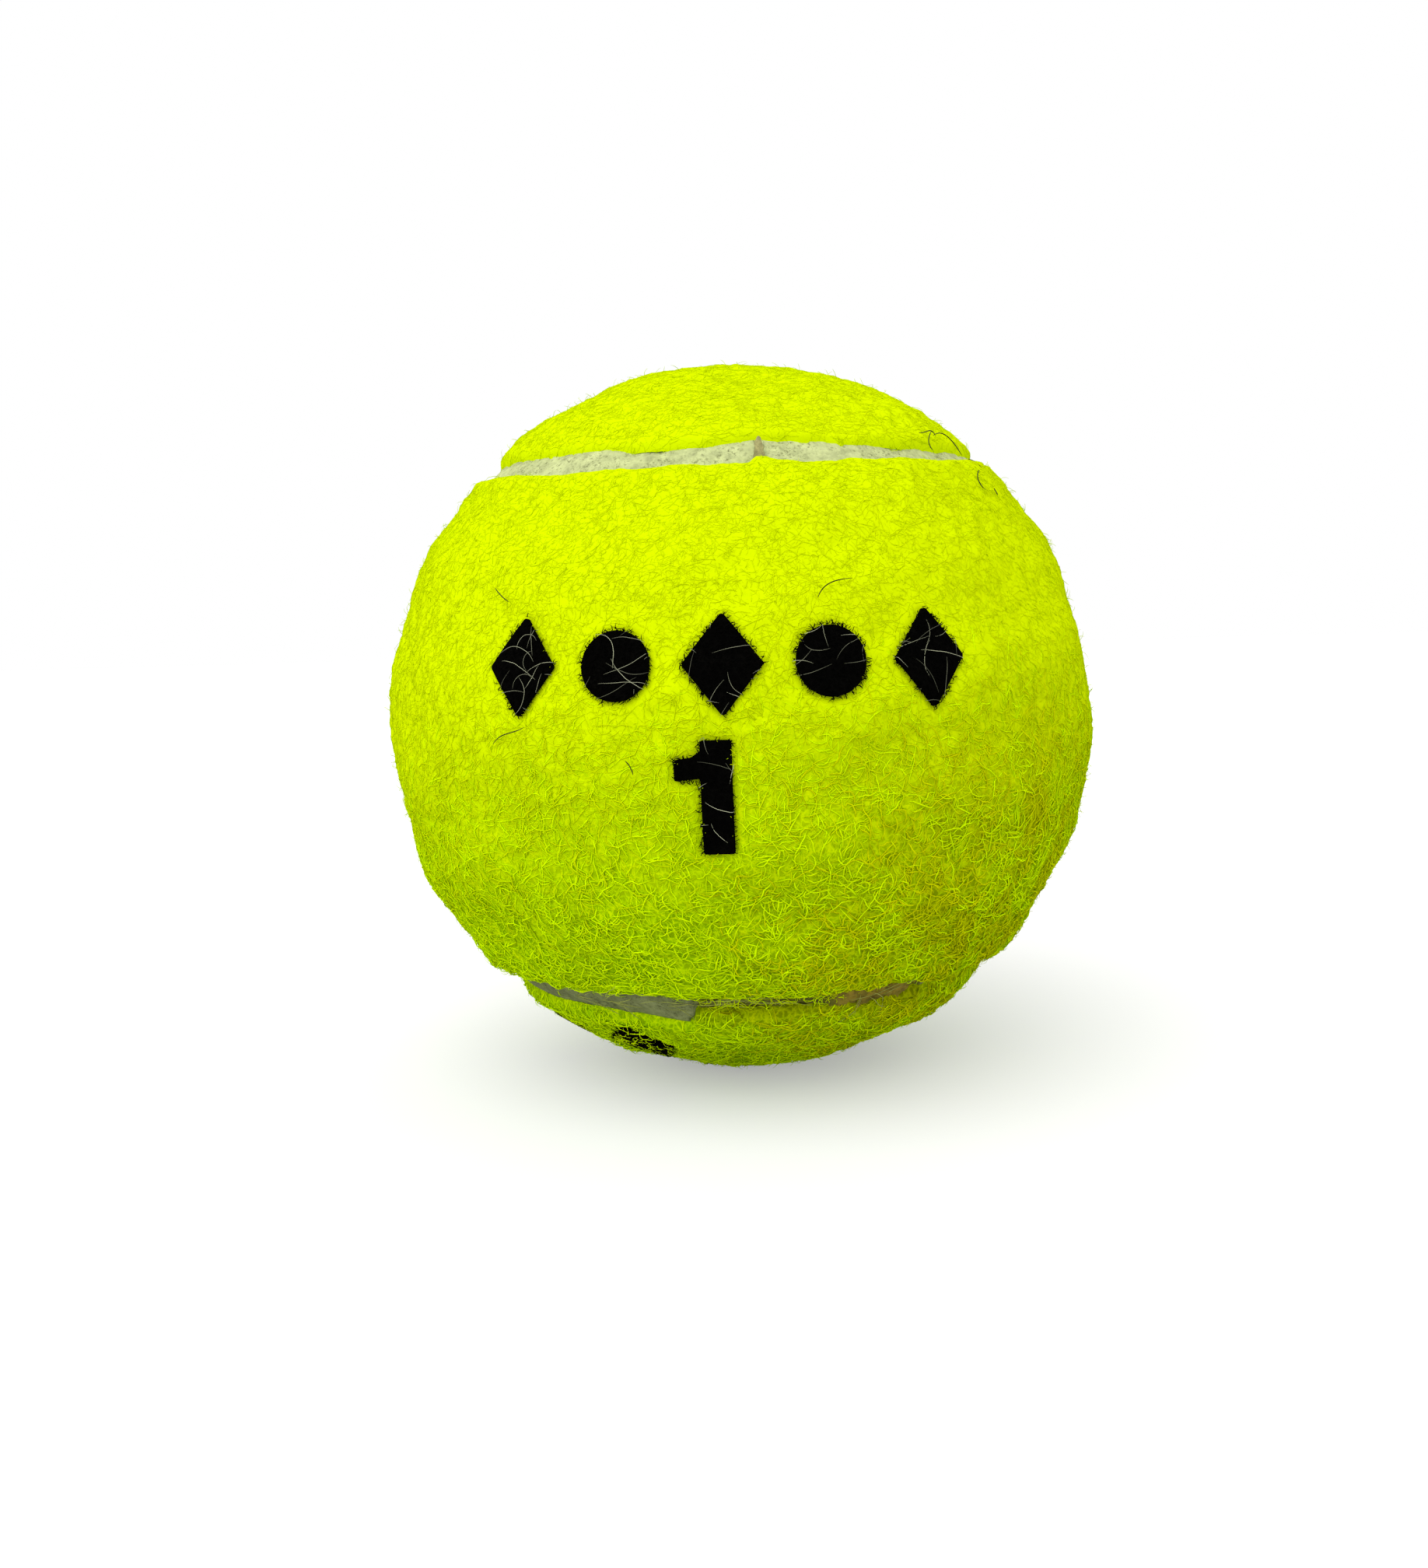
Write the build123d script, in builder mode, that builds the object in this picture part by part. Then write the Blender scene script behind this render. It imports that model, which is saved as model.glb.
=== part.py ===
"""Tennis ball: a two-part rubber core, its cement films, two felt panels, the seam and the printing.

The origin is the centre of the ball, +Z is up and the printed side faces -Y.
Both felt panels have the same dog-bone outline. The front panel has its waist at -Y and its lobes
at +X and -X. The rear panel has its waist at +Y and its lobes at +Z and -Z.
The seam between them runs along four half circles, each at the same angle from the centre of a lobe.
All lengths are in millimetres and all angles in degrees.
"""
import os
from math import asin, cos, degrees, sin

from build123d import *
from build123d.topology import SkipClean

# Core
core_diameter = 60.0
core_wall = 3.5
core_joint_gap = 0.3        # cement between the two halves
core_joint_bead = 0.7       # radius of the cement squeezed out inside
core_coat = 0.2             # cement that the whole core is dipped in

# Cover
backing_coat = 0.2          # cured cement on the back of the felt
felt_thickness = 3.1
felt_edge_radius = 0.9      # the felt rolls down into the seam
felt_edge_wall_share = 0.9  # the roll never takes more than this share of the felt
seam_width = 3.2            # between the two felt edges, on the core
seam_rubber_height = 2.4    # from the core's coat to the top of the rubber
seam_top_radius = 0.3       # the top corners of the rubber
seam_corner_share = 0.4     # and never more than this share of the rubber's height

# Printing
ink_depth = 0.25            # how far the ink soaks into the felt
print_overrun = 2.0         # the outlines are cut through the felt with this much to spare
number_height = 9.0
number_width = 4.5
number_stem = 2.45
number_flag_drop = 1.5      # from the top of the number to the tip of its flag
number_flag_height = 1.6    # the tip's blunt end
number_flag_rise = 0.2      # how much higher the flag's underside meets the stem
number_neck_drop = 0.8      # from the top of the number to where the flag leaves the stem
number_bend_drop = 1.3      # from the top of the number to the bend in the flag's upper edge
number_bend_share = 0.35    # of the flag's length, from the stem to that bend
number_corner_radius = 0.2  # the ink bleeds round its corners
number_right = -3.0         # places on the felt are arcs from the middle of the front, right and up
number_up = -4.2
mark_disc = 5.6
mark_lozenge_width = 6.4
mark_lozenge_height = 8.2
mark_corner_radius = 0.3
mark_pitch = 8.5
front_mark_count = 5
front_mark_right = -1.3
front_mark_up = 6.2
rear_mark_count = 3
rear_mark_right = -18.5
rear_mark_up = -33.8

# Angles that the outline is drawn with
quarter_turn = 90.0
half_turn = 180.0
seam_angle = quarter_turn / 2  # from the centre of a lobe to the middle of the seam

# Sizes that follow
core_radius = core_diameter / 2
core_inner_radius = core_radius - core_wall
coat_radius = core_radius + core_coat
felt_inner_radius = coat_radius + backing_coat
ball_radius = felt_inner_radius + felt_thickness
felt_roll = min(felt_edge_radius, felt_edge_wall_share * felt_thickness)
seam_half_angle = degrees(asin(seam_width / 2 / coat_radius))
panel_half_angle = seam_angle - seam_half_angle
seam_rubber_radius = coat_radius + seam_rubber_height
seam_corner = min(seam_top_radius, seam_corner_share * seam_rubber_height)
number_top = number_height / 2
number_stem_left = number_width / 2 - number_stem
number_flag_top = number_top - number_flag_drop
number_flag_bottom = number_flag_top - number_flag_height
number_neck = number_top - number_neck_drop
number_flag_length = number_width - number_stem
number_bend_right = number_stem_left - number_bend_share * number_flag_length
number_bend_up = number_top - number_bend_drop

# Sections are drawn in the plane of X and Z, then turned about Z to the front or about X to the back
right_section = Plane.XZ
left_section = Plane(origin=(0, 0, 0), x_dir=(-1, 0, 0), z_dir=(0, 1, 0))
turn_to_front = Axis((0, 0, 0), (0, 0, -1))
turn_to_back = Axis((0, 0, 0), (-1, 0, 0))

# The rear panel is the front one turned half a turn about the line between +X and +Z
rear_turn = Plane(origin=(0, 0, 0), x_dir=(0, 0, 1), z_dir=(1, 0, 0))


def ring_sector(plane, radii, angles, rounded_corners=0, corner_radius=0.0):
    """Section of a layer of the ball, with none, the upper one or both of its outer corners rounded."""
    inner_radius, outer_radius = radii
    start_angle, end_angle = angles
    with BuildSketch(plane) as section:
        with BuildLine():
            outer = CenterArc((0, 0), outer_radius, start_angle, end_angle - start_angle)
            inner = CenterArc((0, 0), inner_radius, start_angle, end_angle - start_angle)
            Line(inner @ 0, outer @ 0)
            Line(inner @ 1, outer @ 1)
        make_face()
        if rounded_corners:
            outer_corners = section.vertices().sort_by_distance((0, 0))[-2:]
            fillet(outer_corners.sort_by(Axis.Y)[-rounded_corners:], corner_radius)
    return section.sketch.face()


def cover_panel(radii, edge_radius=0.0):
    """One dog-bone layer as it lies on the front: a band across the front and a lobe at each side."""
    band_corners, lobe_corners = (2, 1) if edge_radius else (0, 0)
    with BuildPart() as panel, SkipClean():
        band = ring_sector(
            right_section, radii, (-panel_half_angle, panel_half_angle), band_corners, edge_radius
        )
        revolve(band, axis=turn_to_front, revolution_arc=half_turn, clean=False)
        for side in (right_section, left_section):
            half_lobe = ring_sector(side, radii, (0, panel_half_angle), lobe_corners, edge_radius)
            revolve(half_lobe, axis=turn_to_back, revolution_arc=half_turn, clean=False)
    return panel.part


def facing(right, up):
    """Plane through the centre of the ball that looks out at a place on the felt."""
    latitude = up / ball_radius
    longitude = right / (ball_radius * cos(latitude))
    outward = (sin(longitude) * cos(latitude), -cos(longitude) * cos(latitude), sin(latitude))
    return Plane(origin=(0, 0, 0), x_dir=(cos(longitude), sin(longitude), 0), z_dir=outward)


def mark_row(count, right, up):
    """Lozenges and discs by turns, in a row round the ball, as bars from its centre."""
    first = right - (count - 1) / 2 * mark_pitch
    with BuildPart() as row:
        for index in range(count):
            with BuildSketch(facing(first + index * mark_pitch, up)) as outline:
                if index % 2:
                    Circle(mark_disc / 2)
                else:
                    with BuildLine():
                        Polyline(
                            (mark_lozenge_width / 2, 0),
                            (0, mark_lozenge_height / 2),
                            (-mark_lozenge_width / 2, 0),
                            (0, -mark_lozenge_height / 2),
                            close=True,
                        )
                    make_face()
                    fillet(outline.vertices(), mark_corner_radius)
        extrude(amount=ball_radius + print_overrun)
        Sphere(ball_radius - ink_depth, mode=Mode.SUBTRACT)
    return row.part


# Core halves and the cement that joins them
with BuildPart() as core_upper_half:
    with BuildSketch(Plane.XZ):
        Circle(core_radius)
        Circle(core_inner_radius, mode=Mode.SUBTRACT)
        with Locations((core_radius / 2, (core_joint_gap + core_radius) / 2)):
            Rectangle(core_radius, core_radius, mode=Mode.INTERSECT)
    revolve(axis=Axis.Z)

with BuildPart() as core_lower_half:
    mirror(core_upper_half.part, about=Plane.XY)

with BuildPart() as core_joint_cement:
    with BuildSketch(Plane.XZ):
        Circle(core_radius)
        with Locations((core_radius / 2, 0)):
            Rectangle(core_radius, core_joint_gap, mode=Mode.INTERSECT)
        Circle(core_inner_radius, mode=Mode.SUBTRACT)
        with BuildSketch(mode=Mode.ADD):
            with Locations((core_inner_radius, 0)):
                Circle(core_joint_bead)
            Circle(core_inner_radius, mode=Mode.INTERSECT)
    revolve(axis=Axis.Z)

with BuildPart() as core_cement_coat:
    Sphere(coat_radius)
    Sphere(core_radius, mode=Mode.SUBTRACT)

# Printing: each outline reaches past the felt as a pocket, and the ink fills it level with the felt
with BuildPart() as number_pocket:
    with BuildSketch(facing(number_right, number_up)) as number_outline:
        with BuildLine():
            Polyline(
                (number_stem_left, -number_top),
                (number_width / 2, -number_top),
                (number_width / 2, number_top),
                (number_stem_left, number_top),
                (number_stem_left, number_neck),
                (number_bend_right, number_bend_up),
                (-number_width / 2, number_flag_top),
                (-number_width / 2, number_flag_bottom),
                (number_stem_left, number_flag_bottom + number_flag_rise),
                close=True,
            )
        make_face()
        fillet(number_outline.vertices(), number_corner_radius)
    extrude(amount=ball_radius + print_overrun)
    Sphere(ball_radius - ink_depth, mode=Mode.SUBTRACT)

with BuildPart() as front_mark_pockets:
    add(mark_row(front_mark_count, front_mark_right, front_mark_up))

with BuildPart() as rear_mark_pockets:
    add(mark_row(rear_mark_count, rear_mark_right, rear_mark_up))

with BuildPart() as front_number_print:
    add(number_pocket.part)
    Sphere(ball_radius, mode=Mode.INTERSECT)

with BuildPart() as front_mark_print:
    add(front_mark_pockets.part)
    Sphere(ball_radius, mode=Mode.INTERSECT)

with BuildPart() as rear_mark_print:
    add(rear_mark_pockets.part)
    Sphere(ball_radius, mode=Mode.INTERSECT)

# Cover
with BuildPart() as front_backing_cement, SkipClean():
    add(cover_panel((coat_radius, felt_inner_radius)), clean=False)

with BuildPart() as rear_backing_cement, SkipClean():
    add(rear_turn * front_backing_cement.part, clean=False)

with BuildPart() as plain_felt_panel, SkipClean():
    add(cover_panel((felt_inner_radius, ball_radius), felt_roll), clean=False)

with BuildPart() as front_felt_panel, SkipClean():
    add(plain_felt_panel.part, clean=False)
    add(number_pocket.part, clean=False, mode=Mode.SUBTRACT)
    add(front_mark_pockets.part, clean=False, mode=Mode.SUBTRACT)

with BuildPart() as rear_felt_panel, SkipClean():
    add(rear_turn * plain_felt_panel.part, clean=False)
    add(rear_mark_pockets.part, clean=False, mode=Mode.SUBTRACT)

with BuildPart() as seam_rubber, SkipClean():
    seam_radii = (coat_radius, seam_rubber_radius)
    seam_angles = (panel_half_angle, seam_angle + seam_half_angle)
    front_section = ring_sector(right_section, seam_radii, seam_angles, 2, seam_corner)
    upper_front = revolve(front_section, axis=turn_to_front, revolution_arc=half_turn, clean=False)
    add(upper_front.mirror(Plane.XY), clean=False)
    for side in (right_section, left_section):
        back_section = ring_sector(side, seam_radii, seam_angles, 2, seam_corner)
        revolve(back_section, axis=turn_to_back, revolution_arc=half_turn, clean=False)

pieces = {
    "core_upper_half": core_upper_half,
    "core_lower_half": core_lower_half,
    "core_joint_cement": core_joint_cement,
    "core_cement_coat": core_cement_coat,
    "front_backing_cement": front_backing_cement,
    "rear_backing_cement": rear_backing_cement,
    "front_felt_panel": front_felt_panel,
    "rear_felt_panel": rear_felt_panel,
    "seam_rubber": seam_rubber,
    "front_number_print": front_number_print,
    "front_mark_print": front_mark_print,
    "rear_mark_print": rear_mark_print,
}

os.makedirs("parts", exist_ok=True)
for name, piece in pieces.items():
    piece.part.label = name
    export_step(piece.part, f"parts/{name}.step")
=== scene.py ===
"""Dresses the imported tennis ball: felt panels with their nap, seam rubber, ink, core and a plain stage."""

import math

import bmesh
import bpy
import numpy as np
from bpy.props import FloatProperty, FloatVectorProperty, IntProperty, PointerProperty
from mathutils import Matrix, Vector
from mathutils.bvhtree import BVHTree
from mathutils.kdtree import KDTree


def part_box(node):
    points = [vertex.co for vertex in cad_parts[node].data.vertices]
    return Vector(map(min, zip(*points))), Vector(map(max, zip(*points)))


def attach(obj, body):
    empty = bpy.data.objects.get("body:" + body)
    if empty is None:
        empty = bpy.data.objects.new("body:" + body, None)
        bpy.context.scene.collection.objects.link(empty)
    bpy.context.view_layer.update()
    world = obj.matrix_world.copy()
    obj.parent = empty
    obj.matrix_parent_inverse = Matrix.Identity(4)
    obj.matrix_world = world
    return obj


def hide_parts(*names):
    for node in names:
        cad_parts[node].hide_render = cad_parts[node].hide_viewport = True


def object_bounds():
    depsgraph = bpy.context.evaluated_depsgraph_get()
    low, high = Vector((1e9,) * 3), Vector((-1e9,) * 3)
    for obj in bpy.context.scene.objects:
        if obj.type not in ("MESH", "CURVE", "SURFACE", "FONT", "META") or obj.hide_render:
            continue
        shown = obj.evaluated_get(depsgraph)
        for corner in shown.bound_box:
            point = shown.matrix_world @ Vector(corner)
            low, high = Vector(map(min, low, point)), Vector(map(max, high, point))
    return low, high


bl_info = {
    "name": "Tennis Ball",
    "version": (1, 0, 0),
    "blender": (4, 5, 0),
    "location": "View3D > Sidebar > Tennis Ball",
    "description": "Felt panels with their nap, seam rubber, ink, core and stage of a tennis ball",
    "category": "Object",
}

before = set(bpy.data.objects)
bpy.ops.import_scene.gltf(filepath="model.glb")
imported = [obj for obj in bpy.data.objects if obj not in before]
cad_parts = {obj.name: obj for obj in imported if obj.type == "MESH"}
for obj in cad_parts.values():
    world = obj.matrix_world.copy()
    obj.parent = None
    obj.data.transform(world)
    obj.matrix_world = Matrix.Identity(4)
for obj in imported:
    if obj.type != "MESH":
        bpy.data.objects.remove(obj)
cad_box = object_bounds()

MM = 0.001
BODY = "root"

# The photograph's frame and the ball's outline in it, in pixels
IMAGE_WIDTH = 1836
IMAGE_HEIGHT = 2016
OUTLINE_CENTRE = (952.1, 917.4)
OUTLINE_RADIUS = 451.6

FRONT_PRINT_NODES = ("front_number_print", "front_mark_print")
PRINT_NODES = (*FRONT_PRINT_NODES, "rear_mark_print")
CORE_NODES = ("core_upper_half", "core_lower_half")
CEMENT_NODES = ("core_joint_cement", "core_cement_coat", "front_backing_cement", "rear_backing_cement")

# How far matted felt covers the front's seam, above and below: at degrees right of the middle, the shares
# of half the gap that the front panel's lip and the rear panel's lip cover, in straight lines between
UPPER_LIP_COVER = (
    (-88.0, 0.0, 0.0), (-80.0, 0.6, 0.4), (-52.0, 0.45, 0.4), (-40.0, 0.2, 0.35), (-28.0, 0.15, 0.42),
    (-22.0, 0.1, 0.7), (-6.0, 0.15, 0.68), (-2.0, 0.3, 0.4), (3.0, 0.25, 0.2), (4.2, 0.7, 0.15),
    (6.4, 0.7, 0.15), (8.5, 0.35, 0.28), (20.0, 0.32, 0.3), (23.0, 0.55, 0.55), (46.0, 0.5, 0.6),
    (52.0, 0.75, 0.65), (80.0, 0.75, 0.65), (88.0, 0.0, 0.0),
)
LOWER_LIP_COVER = (
    (-13.4, 0.0, 0.0), (-12.6, 0.0, 0.15), (-11.8, 0.0, 0.45), (-11.2, 0.05, 0.9), (6.0, 0.05, 0.95),
    (17.0, 0.15, 0.85), (22.0, 0.0, 1.0), (32.0, 0.0, 1.1), (37.0, 0.2, 1.2), (42.0, 0.6, 1.1),
    (47.0, 0.75, 1.25), (80.0, 0.75, 1.25), (87.0, 0.0, 0.0),
)

# Where the felt rolls more broadly and deeply into the lower seam: the degrees between which this grows and
# fades, by how many times its roll is broader, and how much deeper the felt and the strip lie
BROAD_ROLL_STOPS = (38.0, 50.0, 78.0, 88.0)
BROAD_ROLL = 1.4
BROAD_DROP = 0.4 * MM

# The stretch of the lower seam where the strip is gone and the brown rubber under it shows: from and to
# in degrees right of the middle, its depth under the strip and the direction to its middle
BARE_STRETCH = (-11.4, 41.0)
BARE_DEPTH = 0.15 * MM
BARE_SIDE = (0.18, -0.683, -0.707)

# A torn patch of that brown rubber stands up there: from and to in degrees, how far over the strip and
# the direction to its middle
PATCH_STRETCH = (12.0, 38.0)
PATCH_RISE = 0.3 * MM
PATCH_SIDE = (0.341, -0.641, -0.688)

# The strip lifts towards its end there: over how many degrees and how far. Its lower corner is rounded off:
# by how many degrees, and from where to where in degrees up from the middle
LIFTED_STRETCH = 14.0
LIFTED_RISE = 0.5 * MM
CORNER_CUT = 1.5
CORNER_STOPS = (-46.2, -47.6)

# How many times more fibres than elsewhere reach over the seam there, and the crease that the lips leave,
# in degrees up from the middle
GROOVE_WISPS = 2
CREASE_LATITUDE = -43.5

# The felt beside that crease is painted dark, as painted shade under the lips. In degrees up from the middle:
# where this begins and is full, where it fades, and where it ends, at the strip's end and a few degrees right
# of it
CREASE_DARK_TOP = (-42.0, -43.0)
CREASE_DARK_FADE = -44.5
CREASE_DARK_FOOT = (-51.0, -47.5)

# Curly fibres that hang over the crease: from and to in degrees right of the middle, how many there are, how
# far over it they grow in millimetres, and whether they hang down or up
CURL_STRETCH = (-9.0, 30.0)
CREASE_CURLS = ((80, 0.7, -1), (30, -0.7, 1))

# Long pale hairs by the crease: how many there are, from and to in degrees right of the middle, how far they
# lean from its line in radians, and how long they are and how deep they lie in millimetres
CREASE_HAIRS = (
    (12, (-16.0, 6.0), 0.12, (3, 8), 0.7),
    (8, (18.0, 29.0), 0.6, (2, 4), 0.45),
    (18, (-42.0, -15.0), 0.8, (1.5, 3.5), 0.35),
)
CREASE_HAIR_WIDTH = 0.06 * MM

# Dark hairs caught in the nap, through places on the felt in millimetres right and up from the front's middle
STRAY_HAIRS = (
    ((6.2, 11.1), (6.7, 11.9), (7.6, 12.4), (9.0, 12.6)),
    ((19.7, 27.7), (21.4, 28.2), (22.6, 27.7), (22.8, 26.4), (23.1, 25.2)),
    ((17.7, 27.9), (18.7, 28.1), (19.7, 28.4), (20.0, 27.6)),
    ((19.7, 28.3), (18.6, 26.8), (18.7, 25.5)),
    ((24.0, 24.8), (25.2, 24.5), (26.0, 23.8)),
    ((25.2, 23.5), (24.3, 22.7), (24.2, 21.8), (24.8, 21.1)),
    ((26.6, 21.4), (26.8, 20.6)),
    ((-9.0, -1.1), (-8.6, -1.6), (-8.4, -2.2)),
    ((-21.1, 0.0), (-20.1, 0.7), (-19.0, 1.0), (-17.8, 1.4)),
    ((-21.1, 12.7), (-20.3, 12.0), (-19.5, 11.5)),
)
STRAY_HAIR_WIDTH = 0.1 * MM
STRAY_HAIR_LIFT = 0.28 * MM

# The loose end of the seam strip: its foot and its tip, in degrees right and up, and its size
TAB_FOOT = (5.1, 42.2)
TAB_TIP = (5.25, 46.9)
TAB_WIDTH = 1.1 * MM
TAB_THICKNESS = 0.25 * MM
TAB_RISE = 0.8 * MM

# Pale hairs over the ink: how thick they are, and how far they dive into the felt beside it
PALE_HAIR_WIDTH = 0.036 * MM
PALE_HAIR_DIVE = 0.6 * MM

# The sides towards which the nap is open and soiled, and how squarely it faces them where that begins and
# where it is full
OPEN_SIDE = (0.1, -0.2, -0.97)
OPEN_RANGE = (-0.1, 0.76)
SOIL_SIDE = (0.58, -0.62, -0.53)
SOIL_RANGE = (0.7, 0.97)
DOWN = (0.0, 0.0, -1.0)

# The shades of the nap's fibres, on a scale that its colours follow
# The creased shades, the lowest, are painted shade for fibres beside the lower seam's crease
CREASED_SHADES = (0.0, 0.16)
SOILED_SHADES = (0.14, 0.26)
OPEN_SHADES = (0.29, 0.64)
DENSE_SHADES = (0.7, 1.0)
DENSE_FROM = 0.67

# From root to tip of each kind of fibre, its height and its thickness as shares of their greatest values
STRAND_ARCH = np.array((-0.3, 0.6, 1.0, 1.0, 0.7, 0.2))
STRAND_TAPER = np.array((0.8, 1.0, 1.0, 1.0, 0.85, 0.4))
FUZZ_ARCH = np.array((-0.1, 0.45, 0.85, 1.0))
FUZZ_TAPER = np.array((1.0, 1.0, 0.8, 0.35))
CURL_ARCH = np.array((-1.0, 0.3, 0.8, 1.0, 1.0, 1.0, 0.8, 0.6))
CURL_TAPER = np.array((0.8, 1.0, 1.0, 1.0, 1.0, 0.9, 0.7, 0.4))
BRISTLE_ARCH = np.array((-1.0, 0.6, 1.0, 0.4))
BRISTLE_TAPER = np.array((1.0, 1.0, 0.8, 0.3))
HAIR_TAPER = ((0, 0.2, 0.8, 1), (0.5, 1, 1, 0.4))
LENGTH_SPREAD = 0.3

# The rows of points over a panel's lip, in the tuck under it and across its back
LIP_ROWS = 9
TUCK_ROWS = 5
BACK_ROWS = 7

# The side that the key light comes from, how much the floor glows to the camera, and half the floor's width
# in radii of the ball
KEY_SIDE = (-0.36, -0.62, 0.7)
FLOOR_GLOW = 0.36
FLOOR_RADII = 40

# The printing: how far from it the felt eases down, how deep it dips and from where to where, how near to it
# a fibre is on the ink, and how far over the ink such a fibre lies
PRINT_EASE = 1.4 * MM
PRINT_DIP = 0.2 * MM
PRINT_DIP_STOPS = (0.5 * MM, 0.1 * MM)
INK_GRIP = 0.14 * MM
INK_CLEARANCE = 0.05 * MM

MAX_PIECE_TRIANGLES = 190000
SHADE_COLUMNS = 64
STRAND_SIDES = 3
WHITE = (1.0, 1.0, 1.0)
COLOUR = {"subtype": "COLOR", "size": 3, "min": 0, "max": 1}


def node_points(node):
    """The places of a CAD node's points, in metres."""
    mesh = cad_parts[node].data
    points = np.empty(3 * len(mesh.vertices), np.float32)
    mesh.vertices.foreach_get("co", points)
    return points.reshape(-1, 3).astype(float)


def radii_of(node):
    """The least and greatest distance of a node's points from the ball's centre."""
    radii = np.linalg.norm(node_points(node), axis=1)
    return float(radii.min()), float(radii.max())


def panel_edge_angle():
    """How far the front panel reaches from its middle line: where the seam's upper front stretch begins."""
    points = node_points("seam_rubber")
    points = points[(points[:, 1] < 0) & (points[:, 2] > 0)]
    return float(np.arcsin(points[:, 2] / np.linalg.norm(points, axis=1)).min())


FELT_BACK, BALL_RADIUS = radii_of("front_felt_panel")
SEAM_FOOT, SEAM_TOP = radii_of("seam_rubber")
INK_FOOT, _ = radii_of("front_number_print")
PANEL_ANGLE = panel_edge_angle()
HALF_GAP = BALL_RADIUS * (math.pi / 4 - PANEL_ANGLE)


class BallFeltSettings(bpy.types.PropertyGroup):
    """The two felt panels"""

    mesh_step: FloatProperty(
        name="Mesh step", description="Distance between points along the panels' edges",
        default=0.35 * MM, unit="LENGTH")
    nap_depth: FloatProperty(
        name="Nap depth", description="How far the matted ground lies below the ball's outline",
        default=0.2 * MM, unit="LENGTH")
    lump_height: FloatProperty(
        name="Lump height", description="Unevenness over a whole panel",
        default=0.15 * MM, unit="LENGTH")
    lump_spacing: FloatProperty(
        name="Lump spacing", description="Distance between lumps", default=11 * MM, unit="LENGTH")
    tuft_height: FloatProperty(
        name="Tuft height", description="Height of single tufts", default=0.05 * MM, unit="LENGTH")
    tuft_spacing: FloatProperty(
        name="Tuft spacing", description="Distance between tufts", default=2.4 * MM, unit="LENGTH")
    edge_roll: FloatProperty(
        name="Edge roll", description="Radius of the rolled edge at the seam",
        default=1.1 * MM, unit="LENGTH")
    lip_height: FloatProperty(
        name="Lip height", description="Height of the felt's lip over the top of the seam rubber",
        default=-0.2 * MM, unit="LENGTH")
    lip_reach: FloatProperty(
        name="Lip reach", description="How far the lip leans over the seam rubber",
        default=0.12 * MM, unit="LENGTH")
    lip_wave: FloatProperty(
        name="Lip wave", description="Unevenness of the lip", default=0.14 * MM, unit="LENGTH")
    # Painted shade: the dark, greener colour deep between open fibres
    pit: FloatVectorProperty(
        name="Pit", description="Colour deep between open fibres", default=(0.2, 0.37, 0.0), **COLOUR)
    ground: FloatVectorProperty(
        name="Ground", description="Colour between dense fibres", default=(0.63, 0.82, 0.0), **COLOUR)
    crown: FloatVectorProperty(
        name="Crown", description="Colour of the raised felt", default=(0.7, 0.89, 0.0), **COLOUR)
    # Dirt's own colour; made darker, it is also the painted shade beside the lower seam's crease
    soil_and_crease_shade: FloatVectorProperty(
        name="Soil", description="Colour of dirt worked into the felt",
        default=(0.345, 0.378, 0.0), **COLOUR)


class BallNapSettings(bpy.types.PropertyGroup):
    """The fibres of the nap"""

    strand_count: IntProperty(
        name="Strands", description="Long matted fibres tried on each panel", default=27000)
    strand_length: FloatProperty(
        name="Strand length", description="Length of a long fibre", default=1.9 * MM, unit="LENGTH")
    strand_width: FloatProperty(
        name="Strand width", description="Thickness of a long fibre", default=0.085 * MM, unit="LENGTH")
    fuzz_count: IntProperty(
        name="Fuzz", description="Short standing fibres tried on each panel", default=22000)
    fuzz_length: FloatProperty(
        name="Fuzz length", description="Length of a short fibre", default=0.95 * MM, unit="LENGTH")
    fuzz_width: FloatProperty(
        name="Fuzz width", description="Thickness of a short fibre", default=0.05 * MM, unit="LENGTH")
    fibre: FloatVectorProperty(
        name="Fibre", description="Colour of a clean fibre", default=(0.597, 0.742, 0.0), **COLOUR)
    # A clean fibre's colour where the nap is open, made greener as painted shade for the felt low on the ball
    open_fibre: FloatVectorProperty(
        name="Open fibre", description="Colour of a clean fibre where the nap is open",
        default=(0.69, 0.99, 0.0), **COLOUR)


class BallSeamSettings(bpy.types.PropertyGroup):
    """The rubber strip in the seam"""

    mesh_step: FloatProperty(
        name="Mesh step", description="Distance between points", default=0.2 * MM, unit="LENGTH")
    unevenness: FloatProperty(
        name="Unevenness", description="Height of the strip's slow waves",
        default=0.05 * MM, unit="LENGTH")
    pit_count: IntProperty(name="Pits", description="Number of pits in the strip", default=1300)
    pit_radius: FloatProperty(
        name="Pit radius", description="Radius of a large pit", default=0.3 * MM, unit="LENGTH")
    pit_depth: FloatProperty(
        name="Pit depth", description="Depth of a large pit", default=0.16 * MM, unit="LENGTH")
    rubber: FloatVectorProperty(
        name="Rubber", description="Colour of the cured rubber", default=(0.45, 0.49, 0.225), **COLOUR)
    bare: FloatVectorProperty(
        name="Bare rubber", description="Colour under the strip, where it is gone",
        default=(0.21, 0.15, 0.016), **COLOUR)
    # Painted shade: the dark of the crease, painted on the rubber of the bare stretch around its torn patch
    crease: FloatVectorProperty(
        name="Crease", description="Colour in the crease beside the bare rubber",
        default=(0.115, 0.12, 0.01), **COLOUR)
    tab: FloatVectorProperty(
        name="Tab", description="Colour of the strip's loose end", default=(0.29, 0.27, 0.11), **COLOUR)
    grime: FloatVectorProperty(
        name="Grime", description="Colour of the dust in its pits", default=(0.15, 0.16, 0.06), **COLOUR)
    # Painted shade: the share of the strip's colour left low on the ball, darkening it towards the bottom
    low_shade: FloatVectorProperty(
        name="Dulled", description="What is left of the strip's colour low on the ball",
        default=(0.36, 0.375, 0.305), **COLOUR)


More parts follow.
